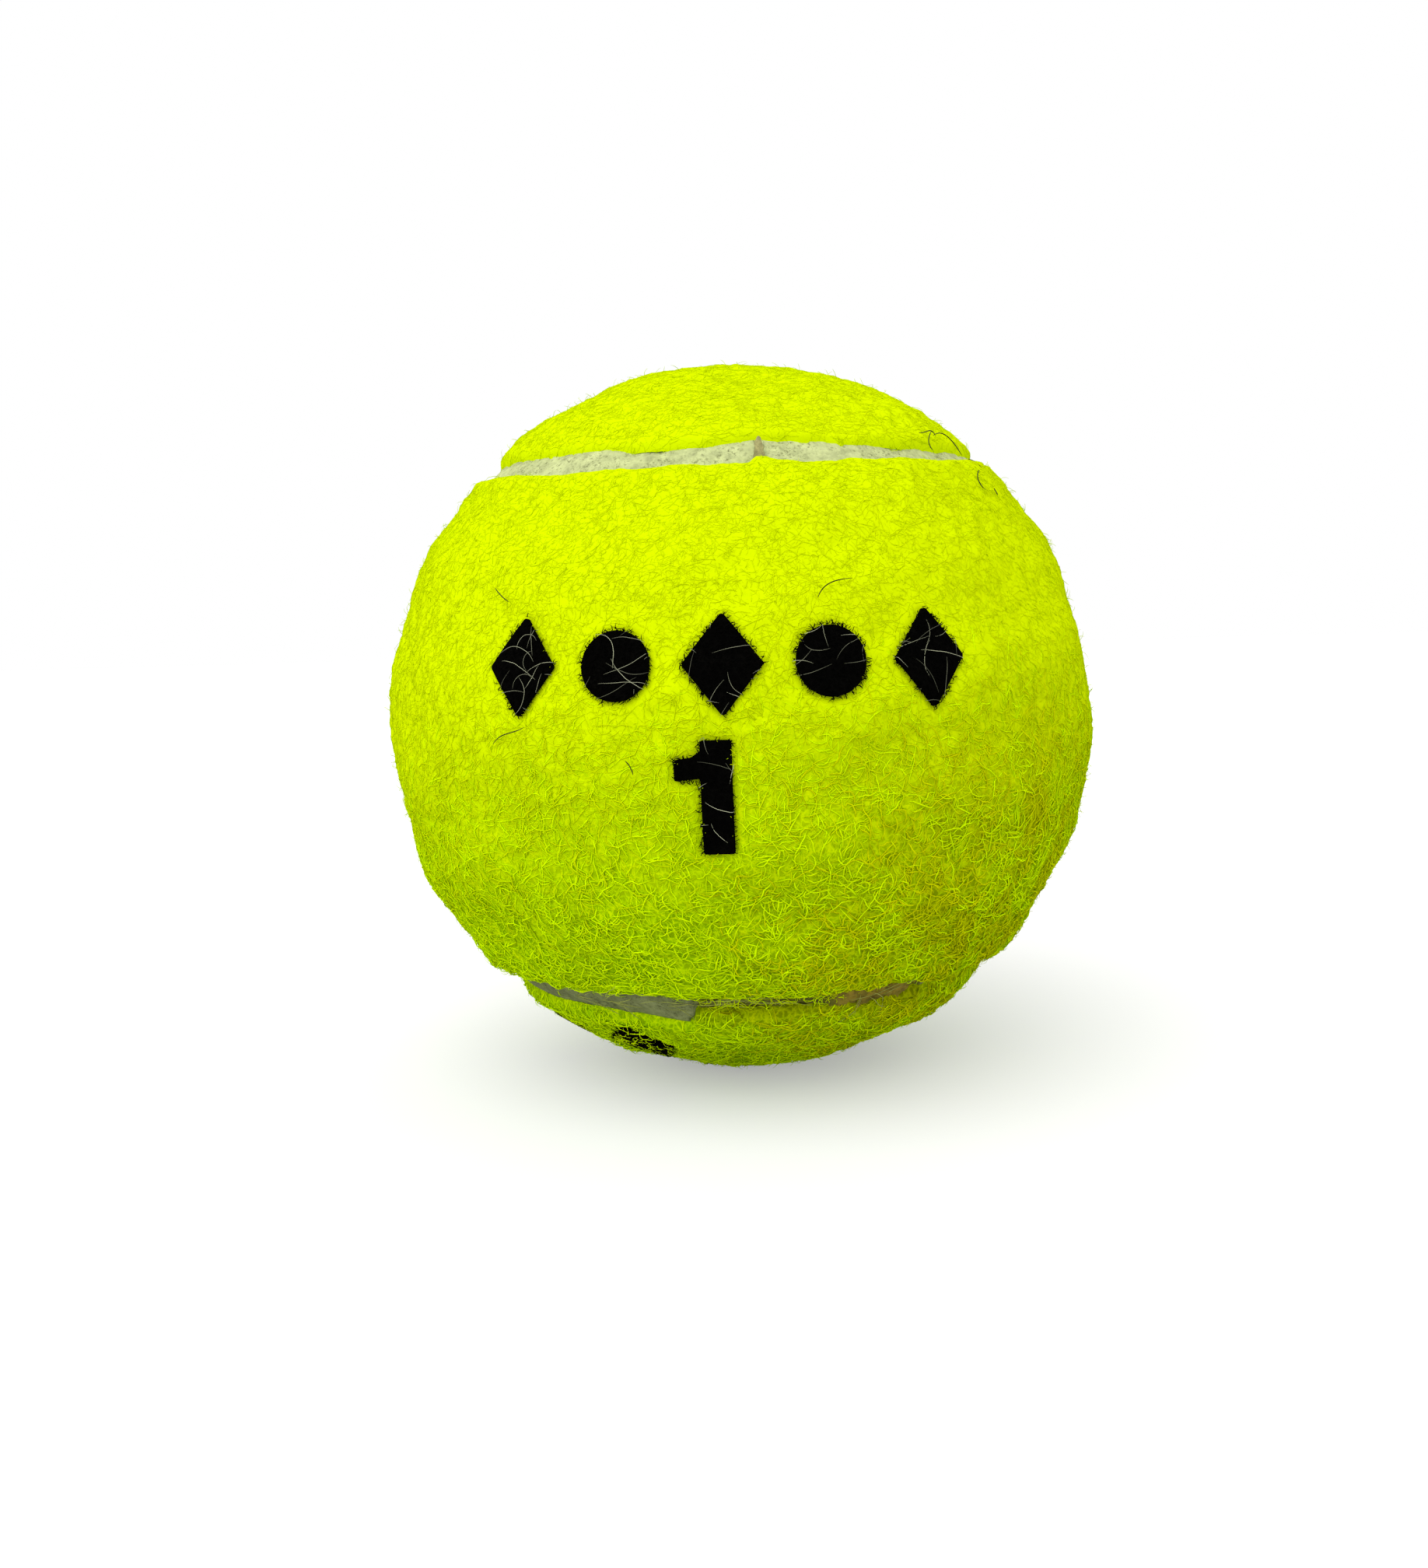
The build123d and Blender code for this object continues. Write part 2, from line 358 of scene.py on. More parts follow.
class BallInkSettings(bpy.types.PropertyGroup):
    """The printed ink"""

    bristle_density: FloatProperty(
        name="Bristle density", description="Inked fibres tried on each square millimetre", default=60.0)
    bristle_length: FloatProperty(
        name="Bristle length", description="Length of an inked fibre", default=0.36 * MM, unit="LENGTH")
    bristle_width: FloatProperty(
        name="Bristle width", description="Thickness of an inked fibre", default=0.08 * MM, unit="LENGTH")
    pale_hair_density: FloatProperty(
        name="Pale hair density", description="Pale hairs tried on each square millimetre", default=0.4)
    pale_hair: FloatVectorProperty(
        name="Pale hair", description="Colour of the hairs that lie over the ink",
        default=(0.56, 0.58, 0.38), **COLOUR)
    crease_hair: FloatVectorProperty(
        name="Crease hair", description="Colour of the hairs along the crease of the lower seam",
        default=(0.46, 0.50, 0.11), **COLOUR)
    dark_hair: FloatVectorProperty(
        name="Dark hair", description="Colour of the stray hairs", default=(0.035, 0.05, 0.006), **COLOUR)
    ink: FloatVectorProperty(
        name="Ink", description="Colour of the ink", default=(0.001, 0.0009, 0.0007), **COLOUR)


class BallCoreSettings(bpy.types.PropertyGroup):
    """The core and its cement"""

    rubber: FloatVectorProperty(
        name="Core rubber", description="Colour of the moulded core",
        default=(0.022, 0.022, 0.02), **COLOUR)
    cement: FloatVectorProperty(
        name="Cement", description="Colour of the cured cement", default=(0.42, 0.32, 0.15), **COLOUR)


class BallStageSettings(bpy.types.PropertyGroup):
    """The camera, lights and floor"""

    camera_distance: FloatProperty(
        name="Camera distance", description="From the ball's centre", unit="LENGTH",
        default=4.5 * BALL_RADIUS)
    camera_elevation: FloatProperty(
        name="Camera elevation", description="Angle above the horizon", subtype="ANGLE",
        default=math.radians(4.0))
    camera_roll: FloatProperty(
        name="Camera roll", description="Turn about the line of sight", subtype="ANGLE",
        default=math.radians(-1.6))
    key_strength: FloatProperty(
        name="Key strength", description="Strength of the soft key light", default=1.64)
    key_angle: FloatProperty(
        name="Key softness", description="Angle that the key light spans", subtype="ANGLE",
        default=math.radians(70))
    ambient: FloatProperty(
        name="Ambient", description="Brightness of the light from all around", default=1.0)
    floor: FloatVectorProperty(
        name="Floor", description="Colour of the floor", default=(0.6, 0.6, 0.6), **COLOUR)


# Shapes on the ball


def unit(vectors):
    return vectors / np.linalg.norm(vectors, axis=-1, keepdims=True)


def ease(start, end, values):
    """A smooth step from 0 at start to 1 at end."""
    share = np.clip((values - start) / (end - start), 0, 1)
    return share * share * (3 - 2 * share)


def ripples(points, spacing, seed, waves=26):
    """A smooth random field of unit strength, with the spacing given in metres."""
    rng = np.random.default_rng(seed)
    axes = unit(rng.normal(size=(waves, 3))) * rng.uniform(0.65, 1.5, (waves, 1)) * 2 * np.pi / spacing
    phases = rng.uniform(0, 2 * np.pi, waves)
    total = np.zeros(points.shape[:-1])
    for axis, phase in zip(axes, phases):
        total += np.cos(points @ axis + phase)
    return total * np.sqrt(2 / waves)


def to_rear(points):
    """Half a turn about the axis between +X and +Z, which takes the front panel to the rear one."""
    return points[..., ::-1] * (1, -1, 1)


def felt_places(right, up):
    """Directions to places on the felt, given as arcs right and up from the middle of the front."""
    latitude = up / BALL_RADIUS
    return globe_places(right / (BALL_RADIUS * np.cos(latitude)), latitude)


def globe_places(longitude, latitude):
    """Directions to places given as angles right and up from the middle of the front."""
    across = np.cos(latitude)
    return np.stack([np.sin(longitude) * across, -np.cos(longitude) * across, np.sin(latitude)], axis=-1)


def longitudes(points):
    """How far points lie right of the middle of the front, in degrees."""
    return np.degrees(np.arctan2(points[..., 0], -points[..., 1]))


def latitudes(directions):
    """How far up directions from the ball's centre point, in degrees."""
    return np.degrees(np.arcsin(directions[..., 2]))


def low_on_front(points):
    """Which points lie on the lower half of the front."""
    return (points[..., 1] < 0) & (points[..., 2] < 0)


class Panel:
    """One felt panel: its name, the seed of its unevenness, whether it is the front panel's shape turned
    to the rear, and the share of its fibres that stay over its printing."""

    def __init__(self, name, seed, rear, over_print_share):
        self.name = name
        self.seed = seed
        self.rear = rear
        self.over_print_share = over_print_share

    def place(self, points):
        return to_rear(points) if self.rear else points


PANELS = (Panel("front", 100, False, 0.0), Panel("rear", 200, True, 0.3))


def edge_columns(step):
    """The spine and the outward direction of each column round the front panel's edge."""
    band = int(math.pi * BALL_RADIUS * math.cos(PANEL_ANGLE) / step)
    lobe = int(math.pi * BALL_RADIUS * math.sin(PANEL_ANGLE) / step)
    across = np.linspace(math.pi / 2, -math.pi / 2, band, endpoint=False)
    around = np.linspace(0, math.pi, lobe, endpoint=False)
    still, ones = np.zeros(band), np.ones(lobe)
    upper = np.stack([np.sin(across), -np.cos(across), still], axis=1)
    left_out = np.stack([0 * around, np.sin(around), np.cos(around)], axis=1)
    spine = [upper, np.outer(-ones, (1, 0, 0)), upper * (-1, 1, 1), np.outer(ones, (1, 0, 0))]
    up, down = np.tile((0, 0, 1.0), (band, 1)), np.tile((0, 0, -1.0), (band, 1))
    outward = [up, left_out, down, left_out * (1, 1, -1)]
    return np.concatenate(spine), np.concatenate(outward)


def turned(spine, outward, angles):
    """Directions at angles from the spine, a row of them for each column."""
    return np.cos(angles)[..., None] * spine[:, None] + np.sin(angles)[..., None] * outward[:, None]


def spine_angle(directions):
    """The angle from the front panel's middle line, for directions from the ball's centre."""
    flat = np.arcsin(np.clip(np.abs(directions[..., 2]), 0, 1))
    cap = np.arccos(np.clip(np.abs(directions[..., 0]), 0, 1))
    return np.where(directions[..., 1] < 0, flat, cap)


def lip_reach(felt, panel, points):
    """How far a panel's lip leans over the seam rubber beside each point."""
    wave = ripples(points, 3.6 * MM, panel.seed + 1) + 0.3 * ripples(points, 1.2 * MM, panel.seed + 2)
    reach = np.clip(felt.lip_reach + felt.lip_wave * wave, 0, 4 * felt.lip_wave)
    longitude = longitudes(points)
    for side, stops in ((1, UPPER_LIP_COVER), (-1, LOWER_LIP_COVER)):
        angles, *shares = np.transpose(stops)
        cover = HALF_GAP * np.interp(longitude, angles, shares[panel.rear]) + 0.4 * felt.lip_wave * wave
        here = (points[..., 1] < 0) & (np.sign(points[..., 2]) == side)
        reach = np.where(here, np.maximum(reach, cover), reach)
    return reach


def broad_share(points):
    """How broadly the felt rolls into the seam beside each point, from 0 to 1."""
    grow, full, fade, end = BROAD_ROLL_STOPS
    longitude = longitudes(points)
    return ease(grow, full, longitude) * ease(end, fade, longitude) * (points[..., 2] < 0)


def edge_roll(felt, points):
    """The radius of the panels' rolled edge beside each point."""
    return felt.edge_roll * (1 + BROAD_ROLL * broad_share(points))


def print_trees():
    """Search trees of the printed nodes, with their boxes."""
    trees = []
    for node in PRINT_NODES:
        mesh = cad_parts[node].data
        tree = BVHTree.FromPolygons([v.co for v in mesh.vertices], [p.vertices for p in mesh.polygons])
        low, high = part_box(node)
        trees.append((tree, np.array(low), np.array(high)))
    return trees


PRINT_TREES = print_trees()


def print_gap(directions):
    """The distance from the nearest printing, up to PRINT_EASE, for directions from the ball's centre."""
    flat = directions.reshape(-1, 3)
    points = flat * (BALL_RADIUS + INK_FOOT) / 2
    gap = np.full(len(flat), PRINT_EASE)
    for tree, low, high in PRINT_TREES:
        near = np.all((points > low - PRINT_EASE) & (points < high + PRINT_EASE), axis=1)
        for index in np.flatnonzero(near):
            distance = tree.find_nearest(points[index], PRINT_EASE)[3]
            if distance is not None:
                gap[index] = min(gap[index], distance)
    return gap.reshape(directions.shape[:-1])


def felt_radius(felt, panel, directions):
    """The radius of a panel's ground, over its edge too, in each direction."""
    points = directions * BALL_RADIUS
    lip = PANEL_ANGLE * BALL_RADIUS + lip_reach(felt, panel, points)
    from_spine = spine_angle(panel.place(directions)) * BALL_RADIUS
    roll = np.clip((from_spine - lip) / edge_roll(felt, points) + 1, 0, 1)
    rise = felt.lump_height * ripples(points, felt.lump_spacing, panel.seed + 3)
    rise += felt.tuft_height * ripples(points, felt.tuft_spacing, panel.seed + 4)
    rise += 0.5 * felt.tuft_height * ripples(points, 0.45 * felt.tuft_spacing, panel.seed + 5)
    gap = print_gap(directions)
    rise = rise * ease(0, PRINT_EASE, gap) - PRINT_DIP * ease(*PRINT_DIP_STOPS, gap)
    top = BALL_RADIUS - felt.nap_depth
    drop = (top - SEAM_TOP - felt.lip_height + BROAD_DROP * broad_share(points)) * roll ** 2
    return top + rise * (1 - roll) - drop


def fibre_radii(felt, panel, trails, lift):
    """The radius of each point of the fibres: lifted from the felt, or over the ink where they cross it."""
    radii = felt_radius(felt, panel, trails) + lift
    on_ink = print_gap(trails) < INK_GRIP
    return np.where(on_ink, np.maximum(radii, BALL_RADIUS + INK_CLEARANCE), radii)


def on_floor(points):
    """The same points, flattened where they would reach below the floor."""
    points[..., 2] = np.maximum(points[..., 2], -BALL_RADIUS)
    return points


# Meshes and materials


def mesh_object(name, points, faces, material):
    """A new smooth object from arrays of points and of faces with equal numbers of corners."""
    mesh = bpy.data.meshes.new(name)
    mesh.vertices.add(len(points))
    mesh.vertices.foreach_set("co", np.asarray(points, np.float32).ravel())
    mesh.loops.add(faces.size)
    mesh.loops.foreach_set("vertex_index", np.asarray(faces, np.int32).ravel())
    mesh.polygons.add(len(faces))
    mesh.polygons.foreach_set("loop_start", np.arange(0, faces.size, faces.shape[1], dtype=np.int32))
    mesh.update(calc_edges=True)
    mesh.shade_smooth()
    mesh.materials.append(material)
    made = bpy.data.objects.new(name, mesh)
    bpy.context.collection.objects.link(made)
    return made


def ring_faces(columns, rows, closed_rows=False):
    """Quads of a grid of points that closes round its columns, and across its rows if asked."""
    column = np.arange(columns)[:, None]
    row = np.arange(rows if closed_rows else rows - 1)[None, :]
    after = (column + 1) % columns
    below = (row + 1) % rows
    corners = [column * rows + row, column * rows + below, after * rows + below, after * rows + row]
    return np.stack(np.broadcast_arrays(*corners), axis=-1).reshape(-1, 4)


def weld(made, distance):
    """Joins the points of an object that lie within a distance."""
    shape = bmesh.new()
    shape.from_mesh(made.data)
    bmesh.ops.remove_doubles(shape, verts=shape.verts, dist=distance)
    shape.to_mesh(made.data)
    shape.free()


def add(tree, kind, inputs=None, **settings):
    """A new shader node with its settings, and its inputs' values or links."""
    made = tree.nodes.new(kind)
    for name, value in settings.items():
        setattr(made, name, value)
    for name, value in (inputs or {}).items():
        if isinstance(value, bpy.types.NodeSocket):
            tree.links.new(value, made.inputs[name])
        else:
            made.inputs[name].default_value = value
    return made


def maths(tree, operation, first, second=0.0, clamp=False):
    return add(tree, "ShaderNodeMath", {0: first, 1: second}, operation=operation, use_clamp=clamp).outputs[0]


def vector_maths(tree, operation, inputs):
    return add(tree, "ShaderNodeVectorMath", inputs, operation=operation).outputs


def blend_values(tree, share, first, second):
    return add(tree, "ShaderNodeMix", {"Factor": share, "A": first, "B": second}).outputs[0]


def blend_colours(tree, share, first, second, kind="MIX"):
    """A blend of two colours, by the sockets that a Mix node has for them."""
    inputs = {0: share, 6: first, 7: second}
    return add(tree, "ShaderNodeMix", inputs, data_type="RGBA", blend_type=kind).outputs[2]


def spread(tree, value, start, end, kind="LINEAR", ends=(0.0, 1.0)):
    """A value spread between two ends, from the first at start to the second at end."""
    inputs = {"Value": value, "From Min": start, "From Max": end, "To Min": ends[0], "To Max": ends[1]}
    return add(tree, "ShaderNodeMapRange", inputs, interpolation_type=kind).outputs[0]


def noise(tree, place, scale, detail, roughness=0.5, distortion=0.0):
    inputs = {"Vector": place, "Scale": scale, "Detail": detail, "Roughness": roughness,
              "Distortion": distortion}
    return add(tree, "ShaderNodeTexNoise", inputs).outputs


def solid(colour, strength=1.0):
    """A colour of a setting as a shader colour, made lighter or darker."""
    return tuple(min(1.0, strength * channel) for channel in colour) + (1.0,)


def ramp(tree, value, *stops):
    """A colour ramp through stops of a position, a colour and the strength of that colour."""
    made = add(tree, "ShaderNodeValToRGB", {"Fac": value})
    while len(made.color_ramp.elements) < len(stops):
        made.color_ramp.elements.new(0.5)
    for element, (position, colour, strength) in zip(made.color_ramp.elements, stops):
        element.position = position
        element.color = solid(colour, strength)
    return made.outputs["Color"]


def new_group(name, vectors, values, outputs):
    """An empty shader node group with vector and value inputs and value outputs, and its sockets inside."""
    group = bpy.data.node_groups.new(name, "ShaderNodeTree")
    for sockets, direction, kind in (
            (vectors, "INPUT", "Vector"), (values, "INPUT", "Float"), (outputs, "OUTPUT", "Float")):
        for socket in sockets:
            group.interface.new_socket(socket, in_out=direction, socket_type="NodeSocket" + kind)
    return group, group.nodes.new("NodeGroupInput").outputs, group.nodes.new("NodeGroupOutput").inputs


def mottle_group():
    """Clumps crossed by a web of finer threads, as a tone from dark to pale."""
    group, given, put = new_group(
        "Mottle", ("Vector",), ("Clump Scale", "Thread Scale", "Thread Share"), ("Tone",))
    clumps = noise(group, given["Vector"], given["Clump Scale"], detail=4.0, roughness=0.6)
    bend = vector_maths(group, "SCALE", {0: clumps["Color"], "Scale": 1.2 * MM})
    bent = vector_maths(group, "ADD", {0: given["Vector"], 1: bend[0]})
    web = add(group, "ShaderNodeTexVoronoi", {"Vector": bent[0], "Scale": given["Thread Scale"]},
              feature="DISTANCE_TO_EDGE")
    thread = spread(group, web.outputs["Distance"], 0.0, 0.28, "SMOOTHSTEP", ends=(1.0, 0.0))
    clump = spread(group, clumps["Fac"], 0.32, 0.68)
    group.links.new(blend_values(group, given["Thread Share"], clump, thread), put["Tone"])
    return group


def side_group():
    """A mask that grows towards one side of the ball, broken into blotches."""
    group, given, put = new_group(
        "Side", ("Vector", "Side"), ("Start", "End", "Blotch Scale", "Blotch Share", "Amount"), ("Mask",))
    outward = vector_maths(group, "NORMALIZE", {0: given["Vector"]})
    facing = vector_maths(group, "DOT_PRODUCT", {0: outward[0], 1: given["Side"]})
    side = spread(group, facing["Value"], given["Start"], given["End"], "SMOOTHSTEP")
    blotch = noise(group, given["Vector"], given["Blotch Scale"], detail=5.0, roughness=0.65)
    patch = spread(group, blotch["Fac"], 0.4, 0.66, "SMOOTHSTEP")
    share = maths(group, "MULTIPLY", side, blend_values(group, given["Blotch Share"], 1.0, patch))
    group.links.new(maths(group, "MULTIPLY", share, given["Amount"], clamp=True), put["Mask"])
    return group


def pores_group():
    """Small round pores, as a mask that is 1 in a pore and a height."""
    group, given, put = new_group("Pores", ("Vector",), ("Scale", "Width"), ("Mask", "Height"))
    cells = add(group, "ShaderNodeTexVoronoi", {"Vector": given["Vector"], "Scale": given["Scale"]})
    pore = spread(group, cells.outputs["Distance"], 0.0, given["Width"], "SMOOTHSTEP", ends=(1.0, 0.0))
    group.links.new(pore, put["Mask"])
    group.links.new(maths(group, "SUBTRACT", 1.0, pore), put["Height"])
    return group


def specks_group():
    """Fine specks that gather in drifts, as a mask that is 1 in a speck."""
    group, given, put = new_group("Specks", ("Vector",), ("Scale", "Drift Scale", "Amount"), ("Mask",))
    grain = noise(group, given["Vector"], given["Scale"], detail=2.0, roughness=0.6, distortion=0.8)
    drift = noise(group, given["Vector"], given["Drift Scale"], detail=3.0)
    speck = spread(group, grain["Fac"], 0.53, 0.66)
    share = maths(group, "MULTIPLY", speck, spread(group, drift["Fac"], 0.38, 0.58))
    group.links.new(maths(group, "MULTIPLY", share, given["Amount"], clamp=True), put["Mask"])
    return group


def use_group(tree, name, build, inputs):
    """The outputs of a node group, which is built once and then shared."""
    group = bpy.data.node_groups.get(name) or build()
    return add(tree, "ShaderNodeGroup", inputs, node_tree=group).outputs


def mottle_tone(tree, place, clumps, threads, thread_share):
    """The tone of clumps and threads of these scales."""
    return use_group(tree, "Mottle", mottle_group, {
        "Vector": place, "Clump Scale": clumps, "Thread Scale": threads,
        "Thread Share": thread_share})["Tone"]


def side_mask(tree, place, side, stops, blotches=300.0, blotch_share=0.0, amount=1.0):
    """A mask that grows towards a side, between stops of how squarely a place faces it."""
    start, end = stops
    return use_group(tree, "Side", side_group, {
        "Vector": place, "Side": side, "Start": start, "End": end, "Blotch Scale": blotches,
        "Blotch Share": blotch_share, "Amount": amount})["Mask"]


def new_material(name):
    """A new material with its tree, its shader and the object's own coordinates."""
    material = bpy.data.materials.new(name)
    material.use_nodes = True
    tree = material.node_tree
    shader = tree.nodes["Principled BSDF"]
    place = tree.nodes.new("ShaderNodeTexCoord").outputs["Object"]
    return material, tree, shader, place


def finish(tree, shader, colour, roughness, specular=0.5, height=None, bump=0.0, depth=0.0):
    """Gives a shader its colour, its gloss and, where a height is given, its bump."""
    tree.links.new(colour, shader.inputs["Base Color"])
    shader.inputs["Roughness"].default_value = roughness
    shader.inputs["Specular IOR Level"].default_value = specular
    if height is not None:
        relief = add(tree, "ShaderNodeBump", {"Height": height, "Strength": bump, "Distance": depth})
        tree.links.new(relief.outputs[0], shader.inputs["Normal"])


def felt_material(felt):
    """Matted felt: threads over darker pits, which are painted shade between the fibres and deepest where the
    nap is open, dirt low on one side, and painted shade beside the bare stretch of the seam."""
    material, tree, shader, place = new_material("felt")
    tone = mottle_tone(tree, place, clumps=900.0, threads=1700.0, thread_share=0.6)
    dense = ramp(tree, tone, (0.1, felt.ground, 0.9), (1.0, felt.crown, 0.83))
    # Painted shade: where the nap is open, the pits between fibres are painted dark and greener
    open_nap = ramp(tree, tone, (0.1, felt.pit, 0.8), (0.6, felt.pit, 1.4), (1.0, felt.crown, 0.88))
    soiled = ramp(tree, tone, (0.1, felt.soil_and_crease_shade, 0.5), (1.0, felt.soil_and_crease_shade, 1.35))
    # Painted shade for the felt beside the lower seam's crease: the dirt colour made darker
    crease_shade = ramp(tree, tone, (0.1, felt.soil_and_crease_shade, 0.3), (1.0, felt.soil_and_crease_shade, 0.8))
    opened = side_mask(tree, place, OPEN_SIDE, OPEN_RANGE, blotches=150.0, blotch_share=0.25)
    dirt = side_mask(tree, place, SOIL_SIDE, SOIL_RANGE, blotches=150.0, blotch_share=0.7, amount=0.85)
    # A band just below the lower seam's crease, beside its bare stretch, that takes the painted shade of the
    # lips
    below = side_mask(tree, place, DOWN, (0.668, 0.684), blotches=500.0, blotch_share=0.2)
    far_below = side_mask(tree, place, DOWN, (0.705, 0.755), blotches=500.0, blotch_share=0.2)
    by_bare_stretch = side_mask(tree, place, BARE_SIDE, (0.94, 0.955), amount=0.85)
    band = maths(tree, "SUBTRACT", below, far_below, clamp=True)
    colour = blend_colours(tree, opened, dense, open_nap)
    colour = blend_colours(tree, dirt, colour, soiled)
    colour = blend_colours(tree, maths(tree, "MULTIPLY", band, by_bare_stretch), colour, crease_shade)
    openness = maths(tree, "ADD", maths(tree, "MULTIPLY", opened, 0.75), 0.25)
    height = maths(tree, "MULTIPLY", tone, openness)
    finish(tree, shader, colour, roughness=1.0, specular=0.0, height=height, bump=0.4, depth=0.15 * MM)
    return material


def strand_shades(tree):
    """A fibre's own shade, and the place along it from root to tip, from its map."""
    pair = add(tree, "ShaderNodeSeparateXYZ", {0: add(tree, "ShaderNodeUVMap", uv_map="OFBake").outputs[0]})
    return pair.outputs["X"], pair.outputs["Y"]


def nap_material(nap, felt):
    """Fibres of the nap, from soiled to pale, darkest as painted shade beside the lower seam's crease, and
    with painted shade at the root and the tip where they aren't dense.
    """
    material, tree, shader, _ = new_material("nap")
    shade, along = strand_shades(tree)
    # The lowest shades, the dirt colour made darker, are painted shade for fibres beside the crease
    colour = ramp(tree, shade, (0.0, felt.soil_and_crease_shade, 0.5), (0.1, felt.soil_and_crease_shade, 1.2), (0.24, felt.soil_and_crease_shade, 2.0),
                  (0.3, nap.open_fibre, 0.52), (0.6, nap.open_fibre, 1.02),
                  (0.7, nap.fibre, 0.94), (1.0, nap.fibre, 1.03))
    # Painted shade: darker at the root and the tip, where a fibre dips into the nap
    depth = ramp(tree, along, (0.0, (0.83, 0.86, 0.83), 1.0), (0.4, WHITE, 1.0), (0.8, WHITE, 1.0),
                 (1.0, (0.92, 0.93, 0.92), 1.0))
    dense = maths(tree, "GREATER_THAN", shade, DENSE_FROM)
    share = maths(tree, "SUBTRACT", 1.0, maths(tree, "MULTIPLY", dense, 0.8))
    finish(tree, shader, blend_colours(tree, share, colour, depth, "MULTIPLY"), roughness=1.0, specular=0.0)
    return material


def seam_material(seam):
    """Cured rubber: pale, matt, with dusty pits and stains, painted shade towards the bottom of the ball,
    brown where the strip is gone, and the crease's painted shade around that brown.
    """
    material, tree, shader, place = new_material("seam_rubber")
    tone = mottle_tone(tree, place, clumps=900.0, threads=2200.0, thread_share=0.15)
    pores = use_group(tree, "Pores", pores_group, {"Vector": place, "Scale": 1500.0, "Width": 0.3})
    specks = use_group(tree, "Specks", specks_group, {
        "Vector": place, "Scale": 4200.0, "Drift Scale": 420.0, "Amount": 0.9})
    # Painted shade that darkens the strip towards the bottom of the ball
    shaded = side_mask(tree, place, DOWN, (0.0, 0.7), blotch_share=0.15)
    bare = side_mask(tree, place, BARE_SIDE, (0.949, 0.9515))
    patch = side_mask(tree, place, PATCH_SIDE, (0.9895, 0.9945), blotches=700.0, blotch_share=0.35)
    colour = ramp(tree, tone, (0.0, seam.rubber, 0.7), (0.5, seam.rubber, 1.0), (1.0, seam.rubber, 1.26))
    colour = blend_colours(tree, specks["Mask"], colour, solid(seam.grime))
    colour = blend_colours(tree, maths(tree, "MULTIPLY", pores["Mask"], 0.7), colour, solid(seam.grime))
    colour = blend_colours(tree, shaded, colour, solid(seam.low_shade), "MULTIPLY")
    brown = ramp(tree, tone, (0.15, seam.bare, 0.5), (0.75, seam.bare, 1.45))
    # The bare stretch: brown worn rubber in the torn patch, and the crease's painted shade around it
    worn_and_crease_shade = blend_colours(tree, patch, solid(seam.crease), brown)
    colour = blend_colours(tree, bare, colour, worn_and_crease_shade)
    finish(tree, shader, colour, roughness=0.85, specular=0.15,
           height=pores["Height"], bump=0.5, depth=0.08 * MM)
    return material


def tab_material(seam):
    """The strip's loose end: greyer rubber with dust on it."""
    material, tree, shader, place = new_material("seam_tab")
    tone = mottle_tone(tree, place, clumps=1400.0, threads=2600.0, thread_share=0.3)
    colour = ramp(tree, tone, (0.0, seam.tab, 0.6), (1.0, seam.tab, 1.3))
    finish(tree, shader, colour, roughness=0.9, specular=0.1, height=tone, bump=0.6, depth=0.1 * MM)
    return material


def ink_material(ink):
    """Black ink soaked into the felt: almost no light comes back, a little more from its bare threads."""
    material, tree, shader, place = new_material("ink")
    tone = mottle_tone(tree, place, clumps=700.0, threads=2200.0, thread_share=0.6)
    colour = ramp(tree, tone, (0.0, ink.ink, 0.5), (0.7, ink.ink, 1.0), (1.0, ink.ink, 2.0))
    finish(tree, shader, colour, roughness=1.0, specular=0.02, height=tone, bump=0.8, depth=0.12 * MM)
    return material


def hair_material(name, colour):
    """Loose hairs, each with its own strength of one colour."""
    material, tree, shader, _ = new_material(name)
    shade, along = strand_shades(tree)
    own = ramp(tree, shade, (0.0, colour, 0.2), (1.0, colour, 1.1))
    depth = ramp(tree, along, (0.0, WHITE, 0.5), (0.3, WHITE, 1.0), (1.0, WHITE, 0.6))
    finish(tree, shader, blend_colours(tree, 1.0, own, depth, "MULTIPLY"), roughness=0.8, specular=0.1)
    return material


def core_material(core):
    """Moulded core rubber: nearly black, buffed in fine pores."""
    material, tree, shader, place = new_material("core_rubber")
    tone = mottle_tone(tree, place, clumps=300.0, threads=800.0, thread_share=0.15)
    pores = use_group(tree, "Pores", pores_group, {"Vector": place, "Scale": 900.0, "Width": 0.25})
    colour = ramp(tree, tone, (0.0, core.rubber, 0.7), (1.0, core.rubber, 1.5))
    finish(tree, shader, colour, roughness=0.75, height=pores["Height"], bump=0.4, depth=0.1 * MM)
    return material


def cement_material(core):
    """Cured cement film: dull amber, brushed on unevenly."""
    material, tree, shader, place = new_material("rubber_cement")
    tone = mottle_tone(tree, place, clumps=220.0, threads=600.0, thread_share=0.25)
    colour = ramp(tree, tone, (0.0, core.cement, 0.6), (1.0, core.cement, 1.25))
    finish(tree, shader, colour, roughness=0.6, height=tone, bump=0.4, depth=0.1 * MM)
    return material


def paint(node, material):
    """Gives a CAD node a material in place of its own."""
    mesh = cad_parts[node].data
    mesh.materials.clear()
    mesh.materials.append(material)


# Fibres


def laid(headings, directions):
    """Headings laid flat on the ball at directions from its centre, of unit length."""
    return unit(headings - (headings * directions).sum(axis=1, keepdims=True) * directions)


def wander(start, heading, length, turns):
    """The directions along fibres of a length that walk over the ball from start, and turn at each step."""
    steps = turns.shape[1]
    stride = (length / (steps - 1) / BALL_RADIUS)[:, None]
    trail = [start]
    for step in range(steps - 1):
        turn = turns[:, step, None]
        heading = np.cos(turn) * heading + np.sin(turn) * np.cross(trail[-1], heading)
        place = unit(trail[-1] + heading * stride)
        heading = laid(heading, place)
        trail.append(place)
    return np.stack(trail, axis=1)


